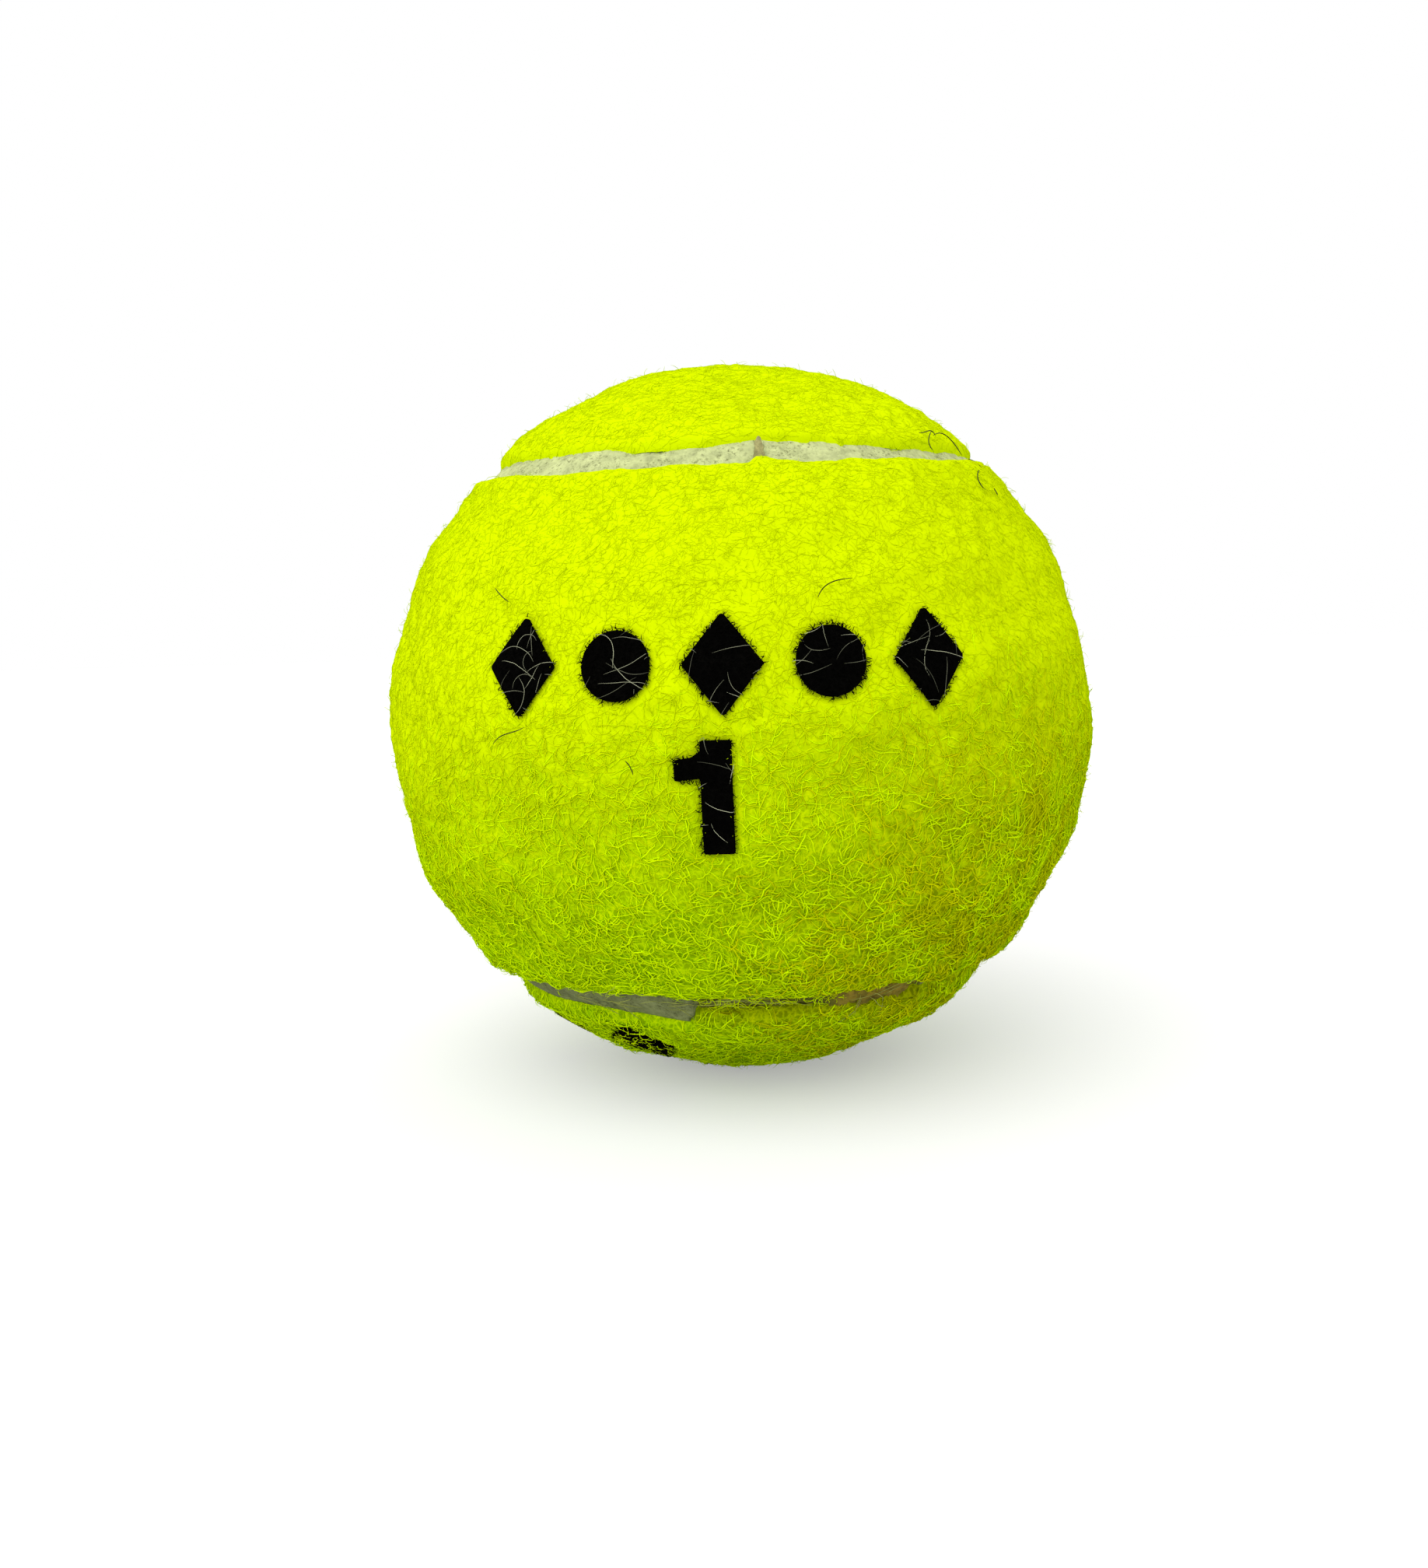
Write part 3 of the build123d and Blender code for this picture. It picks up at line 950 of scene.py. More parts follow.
def bends(rng, count, steps, bend, wobble):
    """The turns of fibres at each step: one that each keeps all along, and a wobble."""
    return rng.normal(0, bend, (count, 1)) + rng.normal(0, wobble, (count, steps))


def combed(directions, rng, flow, spacing, seed):
    """Headings at directions: random, and drawn by flow towards the lie of the nap round about."""
    points = directions * BALL_RADIUS
    lie = np.stack([ripples(points, spacing, seed + axis) for axis in range(3)], axis=1)
    return laid(rng.normal(size=directions.shape) + flow * lie, directions)


def past_edge(felt, panel, directions):
    """How far directions lie past the lip of a panel, along the ball."""
    lip = PANEL_ANGLE * BALL_RADIUS + lip_reach(felt, panel, directions * BALL_RADIUS)
    return spine_angle(panel.place(directions)) * BALL_RADIUS - lip


def panel_roots(felt, panel, count, rng):
    """Random directions that lie on a panel, its lips included."""
    directions = unit(rng.normal(size=(int(2.2 * count), 3)))
    return directions[past_edge(felt, panel, directions) < 0][:count]


def crease_roots(rng, count, angles, offset, scatter):
    """Places by the crease of the lower seam, between angles right of the middle, and the ways right and up
    from them."""
    longitude = np.radians(rng.uniform(*angles, count))
    latitude = math.radians(CREASE_LATITUDE) + (offset + rng.normal(0, scatter, count)) / BALL_RADIUS
    roots = globe_places(longitude, latitude)
    right = np.stack([np.cos(longitude), np.sin(longitude), 0 * longitude], axis=1)
    return roots, right, np.cross(roots, right)


def crease_radii(felt, trails, lift, depth):
    """The radius of each point of the fibres over the crease: lifted from both lips, and no deeper than depth
    between them."""
    ground = np.maximum(*(felt_radius(felt, panel, trails) for panel in PANELS))
    return np.maximum(ground + lift, BALL_RADIUS - depth)


def hair_taper(steps):
    return np.interp(np.linspace(0, 1, steps), *HAIR_TAPER)


def strand_pieces(name, trails, radii, widths, shades, material):
    """Objects of closed three-sided tubes along trails, as many as the limit of triangles needs."""
    paths = trails * radii[..., None]
    count, steps, _ = paths.shape
    triangles = 2 * STRAND_SIDES * (steps - 1) + 2
    parts = math.ceil(count * triangles / MAX_PIECE_TRIANGLES)
    for part in range(parts):
        own = slice(part, count, parts)
        piece_name = f"{name}_{part + 1}" if parts > 1 else name
        made = strand_object(piece_name, paths[own], widths[own], shades[own], material)
        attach(made, BODY)


def strand_object(name, paths, widths, shades, material):
    """One object of closed three-sided tubes, with a map of each tube's shade and of the way along it."""
    count, steps, _ = paths.shape
    along = unit(np.gradient(paths, axis=1))
    side = unit(np.cross(along, unit(paths)))
    rise = np.cross(side, along)
    corner = -np.pi / 2 + 2 * np.pi / STRAND_SIDES * np.arange(STRAND_SIDES)
    ring = np.cos(corner)[:, None] * side[:, :, None] + np.sin(corner)[:, None] * rise[:, :, None]
    points = on_floor(paths[:, :, None] + ring * widths[:, :, None, None] / 2).reshape(-1, 3)

    faces = []
    for step in range(steps - 1):
        for first in range(STRAND_SIDES):
            here = STRAND_SIDES * step + first
            beside = STRAND_SIDES * step + (first + 1) % STRAND_SIDES
            across = beside + STRAND_SIDES
            faces += [(here, here + STRAND_SIDES, across), (here, across, beside)]
    last = STRAND_SIDES * (steps - 1)
    faces += [(0, 1, 2), (last + 2, last + 1, last)]
    firsts = STRAND_SIDES * steps * np.arange(count)
    triangles = (firsts[:, None, None] + np.array(faces)[None]).reshape(-1, 3)

    made = mesh_object(name, points, triangles, material)
    column = np.floor(np.clip(shades, 0, 0.999) * SHADE_COLUMNS)
    across = (column[:, None, None] + np.array((0.15, 0.5, 0.85))[None, None]) / SHADE_COLUMNS
    way = np.linspace(0.02, 0.98, steps)[None, :, None]
    spots = np.stack(np.broadcast_arrays(across, way), axis=-1).reshape(-1, 2)
    fibre_map = made.data.uv_layers.new(name="OFBake")
    fibre_map.data.foreach_set("uv", spots[triangles.ravel()].astype(np.float32).ravel())
    return made


def over_print(nodes, rng, density):
    """Random directions through printed nodes, with the density given for each square millimetre."""
    found = []
    for node in nodes:
        low, high = (np.array(corner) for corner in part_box(node))
        sides = np.sort(high - low) / MM
        directions = unit(rng.uniform(low, high, (int(density * sides[1] * sides[2]), 3)))
        found.append(directions[print_gap(directions) < INK_GRIP])
    return np.concatenate(found)


def open_share(directions):
    """How open the nap is at directions from the ball's centre, from 0, dense, to 1."""
    return ease(*OPEN_RANGE, directions @ unit(np.array(OPEN_SIDE)))


def soil_share(directions):
    """How soiled the nap is at directions from the ball's centre, from 0 to 1."""
    side = ease(*SOIL_RANGE, directions @ unit(np.array(SOIL_SIDE)))
    blotch = ripples(directions * BALL_RADIUS, 5 * MM, 31)
    return side * ease(-1.1, 0.9, blotch)


def pit_share(directions):
    """How bare the nap is between its clumps at directions from the ball's centre, from 0 to 1."""
    return open_share(directions) * ease(0.0, 1.3, ripples(directions * BALL_RADIUS, 2.3 * MM, 33))


def crease_share(directions):
    """How near the crease of the lower seam directions are, from 0 to 1, which sets the painted shade beside
    it.
    """
    start, end = BARE_STRETCH
    longitude, latitude = longitudes(directions), latitudes(directions)
    along = ease(start, start + 3, longitude) * ease(end + 20, end, longitude)
    foot = np.interp(longitude, (start, start + 12), CREASE_DARK_FOOT)
    return along * ease(*CREASE_DARK_TOP, latitude) * ease(foot, CREASE_DARK_FADE, latitude)


def nap_shades(directions, rng, height):
    """A shade for each fibre: creased, which is painted shade beside the lower seam's crease; soiled; open,
    painted darker in pits and paler for a greater height, as shade falls deeper in the nap; or dense."""
    count = len(directions)
    pits = pit_share(directions)
    # Painted shade: open fibres are darker in pits and lower in the nap, and paler higher up
    of_open = np.clip(0.45 + 0.25 * height - 0.23 * pits + rng.normal(0, 0.05, count), *OPEN_SHADES)
    of_dense = np.clip(rng.normal(0.86, 0.06, count), *DENSE_SHADES)
    shades = np.where(rng.uniform(size=count) < open_share(directions), of_open, of_dense)
    soiled = rng.uniform(size=count) < 0.9 * soil_share(directions)
    shades = np.where(soiled, rng.uniform(*SOILED_SHADES, count), shades)
    # Painted shade: fibres beside the lower seam's crease take the darkest shades
    creased = rng.uniform(size=count) < 0.92 * crease_share(directions)
    return np.where(creased, rng.uniform(*CREASED_SHADES, count), shades)


def kept_fibres(felt, panel, trails, rng, wisps):
    """Which fibres stay: those clear of the seam, of pits and of the printing, a share of wisps over the
    seam, and the panel's share over its printing."""
    roots = trails[:, 0]
    count = len(trails)
    start, end = BARE_STRETCH
    longitude = longitudes(roots)
    at_groove = (start < longitude) & (longitude < end) & low_on_front(roots)
    share = np.where(at_groove, GROOVE_WISPS * wisps, wisps)
    over = past_edge(felt, panel, trails).max(axis=1)
    clear_of_seam = (over < 0.25 * MM) | (rng.uniform(size=count) < share)
    clear_of_print = print_gap(trails[:, :-1]).min(axis=1) > INK_GRIP
    clear_of_pits = rng.uniform(size=count) > 0.85 * pit_share(roots)
    clear_of_print |= rng.uniform(size=count) < panel.over_print_share
    return clear_of_seam & clear_of_pits & clear_of_print


# The steps of the build


class BALL_OT_felt_panels(bpy.types.Operator):
    """Make the two felt panels, with uneven ground, rolled edges and lips over the seam"""

    bl_idname = "tennis_ball.felt_panels"
    bl_label = "Felt Panels"

    def execute(self, context):
        felt = context.scene.ball_felt
        material = felt_material(felt)
        spine, outward = edge_columns(felt.mesh_step)
        for panel in PANELS:
            made = self.panel_object(felt, panel, panel.place(spine), panel.place(outward), material)
            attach(made, BODY)
            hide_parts(panel.name + "_felt_panel")
        return {"FINISHED"}

    def panel_object(self, felt, panel, spine, outward, material):
        """A closed shell: the napped face, the rolled edge, the lip's tuck, the wall and the back."""
        edge = unit(spine * math.cos(PANEL_ANGLE) + outward * math.sin(PANEL_ANGLE)) * BALL_RADIUS
        lip = (PANEL_ANGLE + lip_reach(felt, panel, edge) / BALL_RADIUS)[:, None]
        roll = (edge_roll(felt, edge) / BALL_RADIUS)[:, None]
        face_rows = int(PANEL_ANGLE * BALL_RADIUS / felt.mesh_step)
        across = np.linspace(0, 1, face_rows, endpoint=False) * (lip - roll)
        over = lip - roll * (1 - np.sin(np.linspace(0, math.pi / 2, LIP_ROWS)))
        directions = turned(spine, outward, np.concatenate([across, over], axis=1))
        radii = felt_radius(felt, panel, directions)
        face = directions * radii[..., None]

        top = radii[:, -1:]
        foot = np.minimum(SEAM_TOP - 0.2 * MM, top - 0.1 * MM)
        bend = np.linspace(0, math.pi / 2, TUCK_ROWS)[1:]
        tuck_angles = PANEL_ANGLE + (lip - PANEL_ANGLE) * np.cos(bend)
        tuck_radii = top + (foot - top) * np.sin(bend)
        tuck = turned(spine, outward, tuck_angles) * tuck_radii[..., None]

        back_angles = PANEL_ANGLE * np.linspace(1, 0, BACK_ROWS)
        back = turned(spine, outward, back_angles[None]) * FELT_BACK
        points = on_floor(np.concatenate([face, tuck, back], axis=1))
        faces = ring_faces(*points.shape[:2])
        made = mesh_object(panel.name + "_felt", points.reshape(-1, 3), faces, material)
        weld(made, distance=0.002 * MM)
        return made


class BALL_OT_nap(bpy.types.Operator):
    """Cover the panels with long matted fibres and short ones, and hang curls over the lower seam's crease"""

    bl_idname = "tennis_ball.nap"
    bl_label = "Nap"

    def execute(self, context):
        felt, nap = context.scene.ball_felt, context.scene.ball_nap
        material = nap_material(nap, felt)
        for panel in PANELS:
            rng = np.random.default_rng(panel.seed + 50)
            self.strands(felt, nap, panel, rng, material)
            self.fuzz(felt, nap, panel, rng, material)
        self.crease_curls(felt, nap, material)
        return {"FINISHED"}

    def strands(self, felt, nap, panel, rng, material):
        """Long fibres, matted where the nap is dense and arched where it is open."""
        steps = len(STRAND_ARCH)
        roots = panel_roots(felt, panel, nap.strand_count, rng)
        length = nap.strand_length * rng.lognormal(0, LENGTH_SPREAD, len(roots))
        turns = bends(rng, len(roots), steps, bend=0.24, wobble=0.42)
        heading = combed(roots, rng, flow=0.6, spacing=14 * MM, seed=panel.seed + 60)
        trails = wander(roots, heading, length, turns)
        trails = trails[kept_fibres(felt, panel, trails, rng, wisps=0.04)]
        count = len(trails)
        opened = open_share(trails[:, :1])
        loose = 0.1 + 0.9 * opened
        height = rng.uniform(size=count)
        top = (0.03 + 0.24 * height[:, None]) * MM * loose
        wobble = rng.normal(0, 0.02, (count, steps)) * loose
        lift = top * STRAND_ARCH + (wobble - 0.012 * (1 - opened)) * MM
        radii = fibre_radii(felt, panel, trails, lift)
        thickness = nap.strand_width * (0.8 + 0.5 * opened) * rng.uniform(0.7, 1.25, (count, 1))
        shades = nap_shades(trails[:, 0], rng, height)
        strand_pieces(panel.name + "_nap", trails, radii, thickness * STRAND_TAPER, shades, material)

    def fuzz(self, felt, nap, panel, rng, material):
        """Short fibres, most of them lying and a few standing."""
        steps = len(FUZZ_ARCH)
        roots = panel_roots(felt, panel, nap.fuzz_count, rng)
        length = nap.fuzz_length * rng.lognormal(0, LENGTH_SPREAD, len(roots))
        turns = rng.normal(0, 0.5, (len(roots), steps))
        heading = combed(roots, rng, flow=0.5, spacing=9 * MM, seed=panel.seed + 70)
        trails = wander(roots, heading, 0.8 * length, turns)
        stay = kept_fibres(felt, panel, trails, rng, wisps=0.3)
        trails, length = trails[stay], length[stay]
        count = len(trails)
        opened = open_share(trails[:, 0])
        loose = 0.12 + 0.88 * opened
        standing = rng.uniform(size=count) < 0.07 + 0.11 * opened
        upright = rng.uniform(0.25, 0.6, count) * MM
        lying = length * loose * rng.uniform(0.04, 0.32, count)
        lift = np.where(standing, upright, lying)[:, None] * FUZZ_ARCH
        lift += rng.normal(0, 0.02, (count, steps)) * loose[:, None] * MM
        radii = fibre_radii(felt, panel, trails, lift)
        widths = nap.fuzz_width * rng.uniform(0.7, 1.25, (count, 1)) * FUZZ_TAPER
        shades = nap_shades(trails[:, 0], rng, rng.uniform(size=count))
        strand_pieces(panel.name + "_fuzz", trails, radii, widths, shades, material)

    def crease_curls(self, felt, nap, material):
        """Curly fibres that hang from both lips over the crease of the lower seam."""
        rng = np.random.default_rng(80)
        trails = []
        for count, offset, way in CREASE_CURLS:
            roots, right, up = crease_roots(rng, count, CURL_STRETCH, offset * MM, scatter=0.25 * MM)
            slant = rng.normal(0, 0.8, (count, 1))
            heading = np.sin(slant) * right + way * np.cos(slant) * up
            turns = bends(rng, count, len(CURL_ARCH), bend=0.35, wobble=0.35)
            trails.append(wander(roots, heading, rng.uniform(1.0, 2.8, count) * MM, turns))
        trails = np.concatenate(trails)
        count = len(trails)
        lift = rng.uniform(0.03, 0.2, (count, 1)) * MM * CURL_ARCH
        radii = crease_radii(felt, trails, lift, depth=0.7 * MM)
        widths = nap.strand_width * rng.uniform(0.6, 1, (count, 1)) * CURL_TAPER
        strand_pieces("crease_curls", trails, radii, widths, rng.uniform(0.45, 0.95, count), material)


class BALL_OT_seam(bpy.types.Operator):
    """Make the pitted rubber strip that fills the foot of the seam, and its loose end"""

    bl_idname = "tennis_ball.seam"
    bl_label = "Seam Rubber"

    def execute(self, context):
        seam = context.scene.ball_seam
        strip = self.strip_object(seam, seam_material(seam))
        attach(strip, BODY)
        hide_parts("seam_rubber")
        tab = self.tab_object(tab_material(seam))
        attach(tab, BODY)
        return {"FINISHED"}

    def strip_object(self, seam, material):
        """A closed strip round the ball, with relief on its top."""
        spine, outward = edge_columns(seam.mesh_step)
        rows = int(2 * HALF_GAP / seam.mesh_step)
        across = np.linspace(PANEL_ANGLE, math.pi / 2 - PANEL_ANGLE, rows)
        angles = np.concatenate([across, across[[-1, 0]]])
        directions = turned(spine, outward, angles[None])
        radii = np.full(directions.shape[:2], SEAM_FOOT)
        radii[:, :rows] = SEAM_TOP + self.relief(seam, directions[:, :rows])
        points = (directions * radii[..., None]).reshape(-1, 3)
        return mesh_object("seam_strip", points, ring_faces(len(spine), len(angles), True), material)

    def relief(self, seam, directions):
        """Heights over the strip's top: slow waves, the lifted end, the bare stretch with its torn patch, and
        pits."""
        points = directions * SEAM_TOP
        longitude = longitudes(points)
        below = low_on_front(points)
        start, end = BARE_STRETCH
        tip = start - CORNER_CUT * ease(*CORNER_STOPS, latitudes(directions))
        bare = ease(tip, tip + 0.3, longitude) * ease(end, end - 3, longitude) * below
        lifted = ease(start - LIFTED_STRETCH, start, longitude) * (longitude < tip) * below
        height = seam.unevenness * (ripples(points, 5 * MM, 301) + 0.5 * ripples(points, 1.3 * MM, 302) - 1)
        height = np.minimum(height, 0) + LIFTED_RISE * lifted
        start, end = PATCH_STRETCH
        patch = ease(start, start + 9, longitude) * ease(end, end - 5, longitude) * below
        rough = 0.07 * MM * ripples(points, 0.9 * MM, 304) + 0.05 * MM * ripples(points, 0.45 * MM, 305)
        height = height - bare * (BARE_DEPTH - (PATCH_RISE + BARE_DEPTH) * patch + rough + height)
        return height - BROAD_DROP * broad_share(points) - self.pits(seam, points)

    def pits(self, seam, points):
        """The depth at each point of round pits of random sizes."""
        flat = points.reshape(-1, 3)
        spots = KDTree(len(flat))
        for index, point in enumerate(flat):
            spots.insert(point, index)
        spots.balance()
        rng = np.random.default_rng(303)
        sunk = np.zeros(len(flat))
        for middle in rng.integers(0, len(flat), seam.pit_count):
            size = rng.uniform(0.35, 1) ** 2
            radius = seam.pit_radius * size
            for _, index, distance in spots.find_range(flat[middle], radius):
                sunk[index] = max(sunk[index], seam.pit_depth * size * (1 - (distance / radius) ** 2))
        return sunk.reshape(points.shape[:-1])

    def tab_object(self, material):
        """The strip's loose end: a flat tongue that tapers to a point and stands up against the felt."""
        steps, sides = 24, 16
        share = np.linspace(0, 1, steps)
        longitude, latitude = (np.radians(a + (b - a) * share) for a, b in zip(TAB_FOOT, TAB_TIP))
        outward = globe_places(longitude, latitude)
        path = outward * (SEAM_TOP + TAB_RISE * share)[:, None]
        along = unit(np.gradient(path, axis=0))
        side = unit(np.cross(along, outward))
        rise = np.cross(side, along)
        taper = np.sqrt(np.clip(share / 0.12, 0, 1)) * (1 - share) ** 0.45
        corner = 2 * np.pi / sides * np.arange(sides)[:, None, None]
        wide = np.cos(corner) * side * (TAB_WIDTH / 2 * taper)[:, None]
        thick = np.sin(corner) * rise * (TAB_THICKNESS / 2 * taper)[:, None]
        points = path + wide + thick
        points += 0.06 * MM * taper[:, None] * ripples(points, 0.5 * MM, 310)[..., None] * side
        made = mesh_object("seam_tab", points.reshape(-1, 3), ring_faces(sides, steps), material)
        weld(made, distance=0.001 * MM)
        return made


class BALL_OT_ink(bpy.types.Operator):
    """Colour the printing and grow inked bristles over its edges"""

    bl_idname = "tennis_ball.ink"
    bl_label = "Ink"

    def execute(self, context):
        ink = context.scene.ball_ink
        material = ink_material(ink)
        for node in PRINT_NODES:
            paint(node, material)
        self.bristles(ink, material)
        return {"FINISHED"}

    def bristles(self, ink, material):
        """Short inked fibres: all those that cross the printing's edge, and a share of the others."""
        rng = np.random.default_rng(400)
        roots = over_print(PRINT_NODES, rng, ink.bristle_density)
        length = ink.bristle_length * rng.uniform(0.5, 1.4, len(roots))
        turns = rng.normal(0, 0.4, (len(roots), len(BRISTLE_ARCH)))
        heading = combed(roots, rng, flow=0.4, spacing=6 * MM, seed=410)
        trails = wander(roots, heading, length, turns)
        over_edge = print_gap(trails[:, -1]) > INK_GRIP
        trails = trails[over_edge | (rng.uniform(size=len(trails)) < 0.3)]
        count = len(trails)
        radii = BALL_RADIUS + rng.uniform(0.02, 0.1, (count, 1)) * MM * BRISTLE_ARCH
        widths = ink.bristle_width * rng.uniform(0.6, 1.2, (count, 1)) * BRISTLE_TAPER
        strand_pieces("ink_bristles", trails, radii, widths, rng.uniform(size=count), material)


class BALL_OT_loose_hairs(bpy.types.Operator):
    """Lay pale hairs over the printing and along the lower seam's crease, and dark stray hairs on the felt"""

    bl_idname = "tennis_ball.loose_hairs"
    bl_label = "Loose Hairs"

    def execute(self, context):
        felt, ink = context.scene.ball_felt, context.scene.ball_ink
        self.pale_hairs(ink)
        self.crease_hairs(felt, ink)
        self.dark_hairs(ink)
        return {"FINISHED"}

    def pale_hairs(self, ink):
        """Pale hairs that lie over the front's printing and dive into the felt beside it."""
        rng = np.random.default_rng(500)
        steps = 18
        roots = over_print(FRONT_PRINT_NODES, rng, ink.pale_hair_density)
        count = len(roots)
        length = rng.uniform(2, 6.5, count) * MM
        turns = bends(rng, count, steps, bend=0.07, wobble=0.06)
        heading = combed(roots, rng, flow=0.0, spacing=6 * MM, seed=510)
        trails = wander(roots, heading, length, turns)
        over_ink = BALL_RADIUS + rng.uniform(0.05, 0.16, (count, 1)) * MM
        radii = np.where(print_gap(trails) < INK_GRIP, over_ink, BALL_RADIUS - PALE_HAIR_DIVE)
        widths = PALE_HAIR_WIDTH * rng.uniform(0.7, 1.2, (count, 1)) * hair_taper(steps)
        strand_pieces("pale_hairs", trails, radii, widths, rng.uniform(0, 0.9, count),
                      hair_material("pale_hair", ink.pale_hair))

    def crease_hairs(self, felt, ink):
        """Long pale hairs along the crease of the lower seam, and a few across its open end and the strip."""
        rng = np.random.default_rng(520)
        steps = 10
        trails, depths = [], []
        for count, angles, lean, lengths, depth in CREASE_HAIRS:
            roots, right, up = crease_roots(rng, count, angles, offset=0.0, scatter=0.3 * MM)
            slant = rng.normal(0, lean, (count, 1))
            heading = np.cos(slant) * right + np.sin(slant) * up
            turns = bends(rng, count, steps, bend=0.04, wobble=0.1)
            trails.append(wander(roots, heading, rng.uniform(*lengths, count) * MM, turns))
            depths += count * [depth * MM]
        trails = np.concatenate(trails)
        count = len(trails)
        radii = crease_radii(felt, trails, rng.uniform(0.05, 0.2, (count, 1)) * MM, np.array(depths)[:, None])
        widths = CREASE_HAIR_WIDTH * rng.uniform(0.7, 1.2, (count, 1)) * hair_taper(steps)
        strand_pieces("crease_hairs", trails, radii, widths, rng.uniform(0.65, 1, count),
                      hair_material("crease_hair", ink.crease_hair))

    def dark_hairs(self, ink):
        """Dark stray hairs on smooth curves through their places."""
        steps = 12
        share = np.linspace(0, 1, steps)
        trails = []
        for route in STRAY_HAIRS:
            stops = np.linspace(0, 1, len(route))
            curves = [np.polyfit(stops, arcs, min(3, len(route) - 1)) for arcs in zip(*route)]
            trails.append(felt_places(*(np.polyval(curve, share) * MM for curve in curves)))
        trails = np.stack(trails)
        radii = np.full(trails.shape[:2], BALL_RADIUS + STRAY_HAIR_LIFT)
        widths = STRAY_HAIR_WIDTH * np.ones((len(trails), 1)) * hair_taper(steps)
        strand_pieces("stray_hairs", trails, radii, widths, np.linspace(0, 1, len(trails)),
                      hair_material("dark_hair", ink.dark_hair))


class BALL_OT_core(bpy.types.Operator):
    """Colour the core's half shells and the cement films"""

    bl_idname = "tennis_ball.core"
    bl_label = "Core and Cement"

    def execute(self, context):
        core = context.scene.ball_core
        rubber, cement = core_material(core), cement_material(core)
        for node in CORE_NODES:
            paint(node, rubber)
        for node in CEMENT_NODES:
            paint(node, cement)
        return {"FINISHED"}


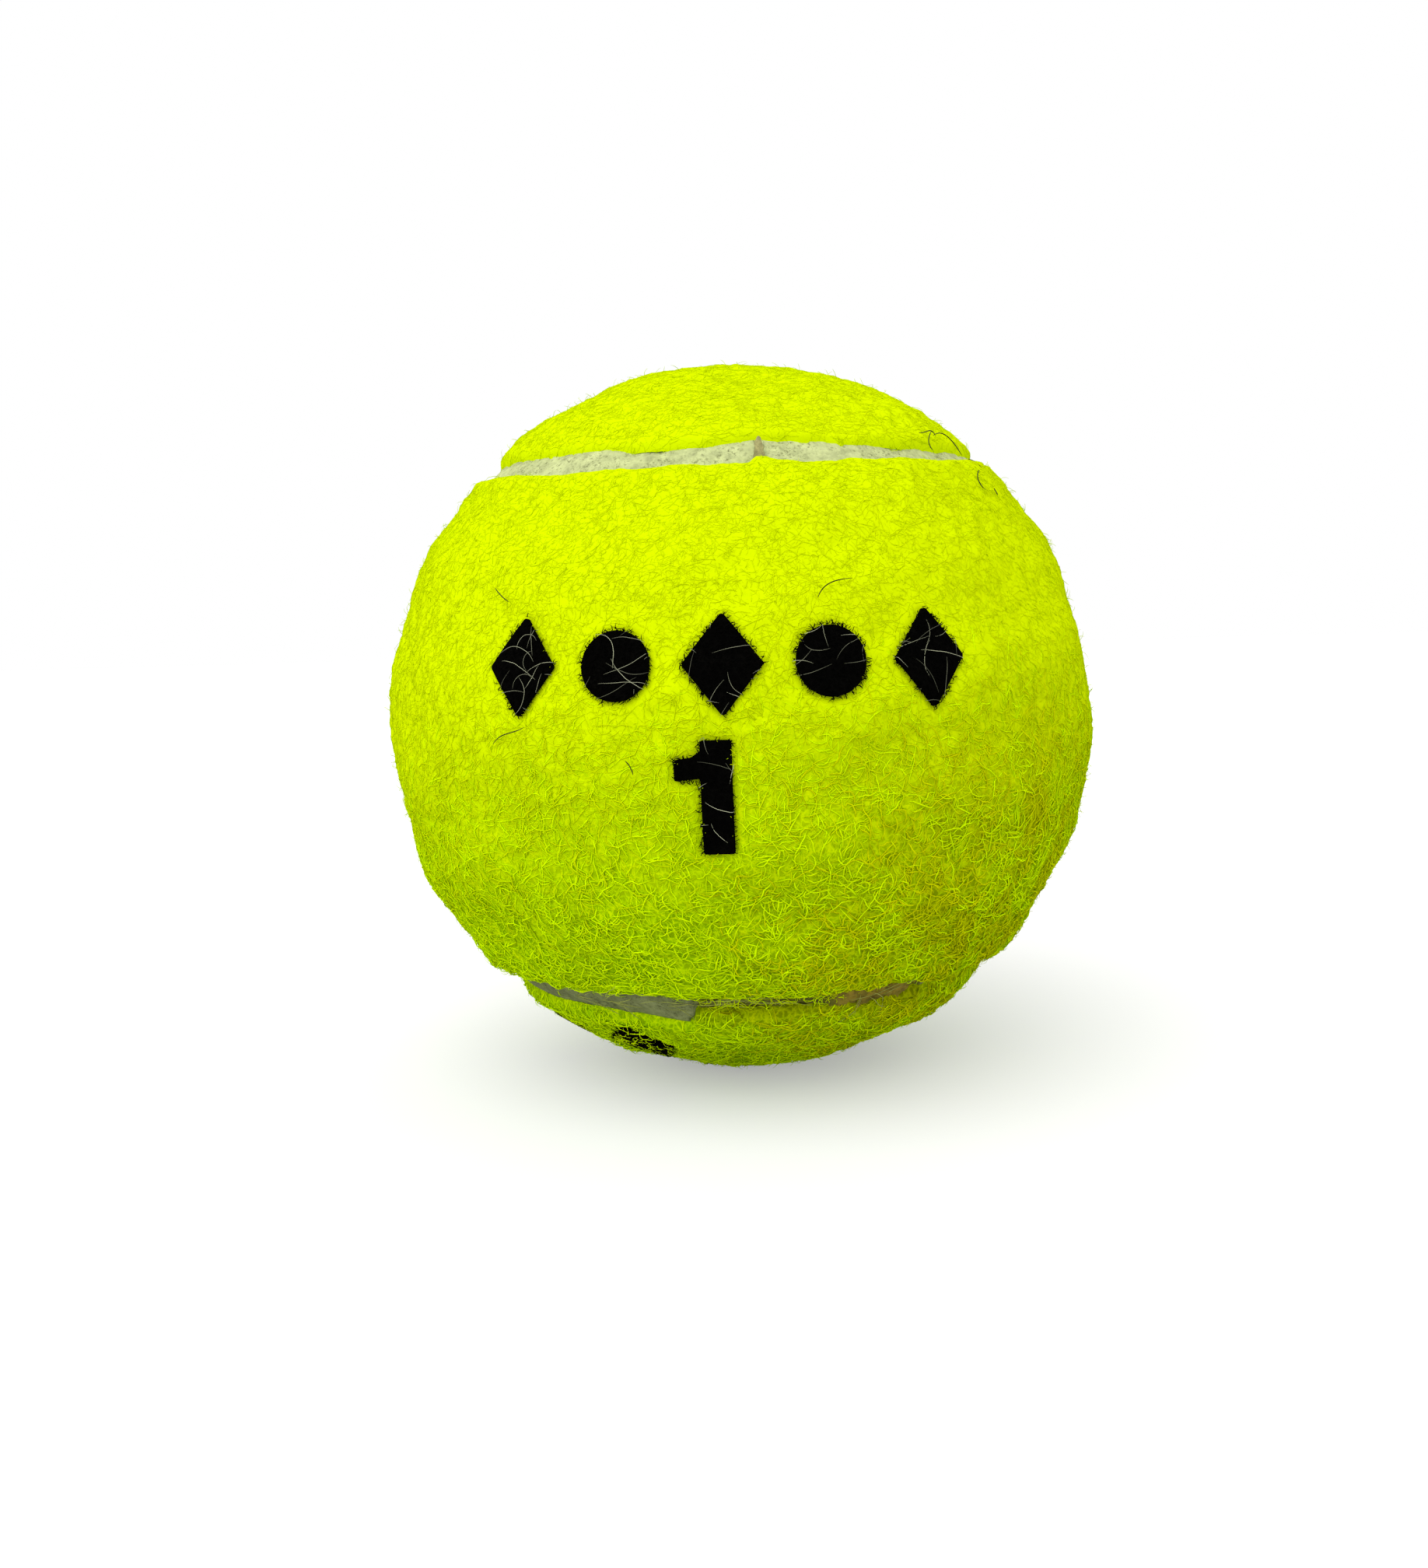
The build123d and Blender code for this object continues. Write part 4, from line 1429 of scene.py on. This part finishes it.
class BALL_OT_stage(bpy.types.Operator):
    """Set up the camera, the soft light and the white floor"""

    bl_idname = "tennis_ball.stage"
    bl_label = "Stage"

    def execute(self, context):
        stage = context.scene.ball_stage
        self.camera(context, stage)
        self.light(context, stage)
        self.floor(stage)
        context.scene.view_settings.view_transform = "Standard"
        return {"FINISHED"}

    def camera(self, context, stage):
        """A camera that sees the ball's outline where the photograph has it."""
        lens = bpy.data.cameras.new("camera")
        ratio = stage.camera_distance / BALL_RADIUS
        long_side = max(IMAGE_WIDTH, IMAGE_HEIGHT)
        lens.lens = lens.sensor_width * OUTLINE_RADIUS * math.sqrt(ratio ** 2 - 1) / long_side
        lens.shift_x = (IMAGE_WIDTH / 2 - OUTLINE_CENTRE[0]) / long_side
        lens.shift_y = (OUTLINE_CENTRE[1] - IMAGE_HEIGHT / 2) / long_side
        lens.clip_start = 1 * MM
        camera = bpy.data.objects.new("camera", lens)
        tilt = Matrix.Rotation(math.pi / 2 - stage.camera_elevation, 4, "X")
        back = tilt @ Vector((0, 0, stage.camera_distance))
        camera.matrix_world = Matrix.Translation(back) @ tilt @ Matrix.Rotation(stage.camera_roll, 4, "Z")
        context.collection.objects.link(camera)
        context.scene.camera = camera

    def light(self, context, stage):
        """A broad key light from above, and even light from all around that the camera sees as white."""
        key = bpy.data.lights.new("key", "SUN")
        key.energy = stage.key_strength
        key.angle = stage.key_angle
        lamp = bpy.data.objects.new("key", key)
        lamp.rotation_euler = Vector(KEY_SIDE).to_track_quat("Z", "Y").to_euler()
        context.collection.objects.link(lamp)
        world = bpy.data.worlds.new("studio")
        world.use_nodes = True
        context.scene.world = world
        tree = world.node_tree
        seen = add(tree, "ShaderNodeLightPath").outputs["Is Camera Ray"]
        background = tree.nodes["Background"].inputs
        background["Color"].default_value = solid(WHITE)
        tree.links.new(blend_values(tree, seen, stage.ambient, 1.0), background["Strength"])

    def floor(self, stage):
        """A broad floor that keeps the ball's shadow and is white to the camera."""
        material = bpy.data.materials.new("floor")
        material.use_nodes = True
        tree = material.node_tree
        shader = tree.nodes["Principled BSDF"].inputs
        shader["Base Color"].default_value = solid(stage.floor)
        shader["Roughness"].default_value = 1.0
        shader["Specular IOR Level"].default_value = 0.0
        shader["Emission Color"].default_value = solid(WHITE)
        seen = add(tree, "ShaderNodeLightPath").outputs["Is Camera Ray"]
        tree.links.new(maths(tree, "MULTIPLY", seen, FLOOR_GLOW), shader["Emission Strength"])
        half, level = FLOOR_RADII * BALL_RADIUS, cad_box[0][2]
        corners = np.array([(x * half, y * half, level) for x, y in ((-1, -1), (1, -1), (1, 1), (-1, 1))])
        mesh_object("floor", corners, np.array([(0, 1, 2, 3)]), material)


class BALL_PT_panel(bpy.types.Panel):
    """The settings and the steps of the build, in order"""

    bl_label = "Tennis Ball"
    bl_idname = "BALL_PT_panel"
    bl_space_type = "VIEW_3D"
    bl_region_type = "UI"
    bl_category = "Tennis Ball"

    def draw(self, context):
        for name, (settings, *steps) in STEPS.items():
            box = self.layout.box()
            held = getattr(context.scene, name)
            for setting in settings.__annotations__:
                box.prop(held, setting)
            for step in steps:
                box.operator(step.bl_idname)


STEPS = {
    "ball_stage": (BallStageSettings, BALL_OT_stage),
    "ball_felt": (BallFeltSettings, BALL_OT_felt_panels),
    "ball_nap": (BallNapSettings, BALL_OT_nap),
    "ball_seam": (BallSeamSettings, BALL_OT_seam),
    "ball_ink": (BallInkSettings, BALL_OT_ink, BALL_OT_loose_hairs),
    "ball_core": (BallCoreSettings, BALL_OT_core),
}
CLASSES = (*(cls for classes in STEPS.values() for cls in classes), BALL_PT_panel)


def register():
    for cls in CLASSES:
        bpy.utils.register_class(cls)
    for name, (settings, *_) in STEPS.items():
        setattr(bpy.types.Scene, name, PointerProperty(type=settings))


def unregister():
    for name in STEPS:
        delattr(bpy.types.Scene, name)
    for cls in reversed(CLASSES):
        bpy.utils.unregister_class(cls)


def main():
    register()
    bpy.ops.tennis_ball.stage()
    bpy.ops.tennis_ball.felt_panels()
    bpy.ops.tennis_ball.nap()
    bpy.ops.tennis_ball.seam()
    bpy.ops.tennis_ball.ink()
    bpy.ops.tennis_ball.loose_hairs()
    bpy.ops.tennis_ball.core()
    bpy.context.view_layer.update()


if __name__ == "__main__":
    main()
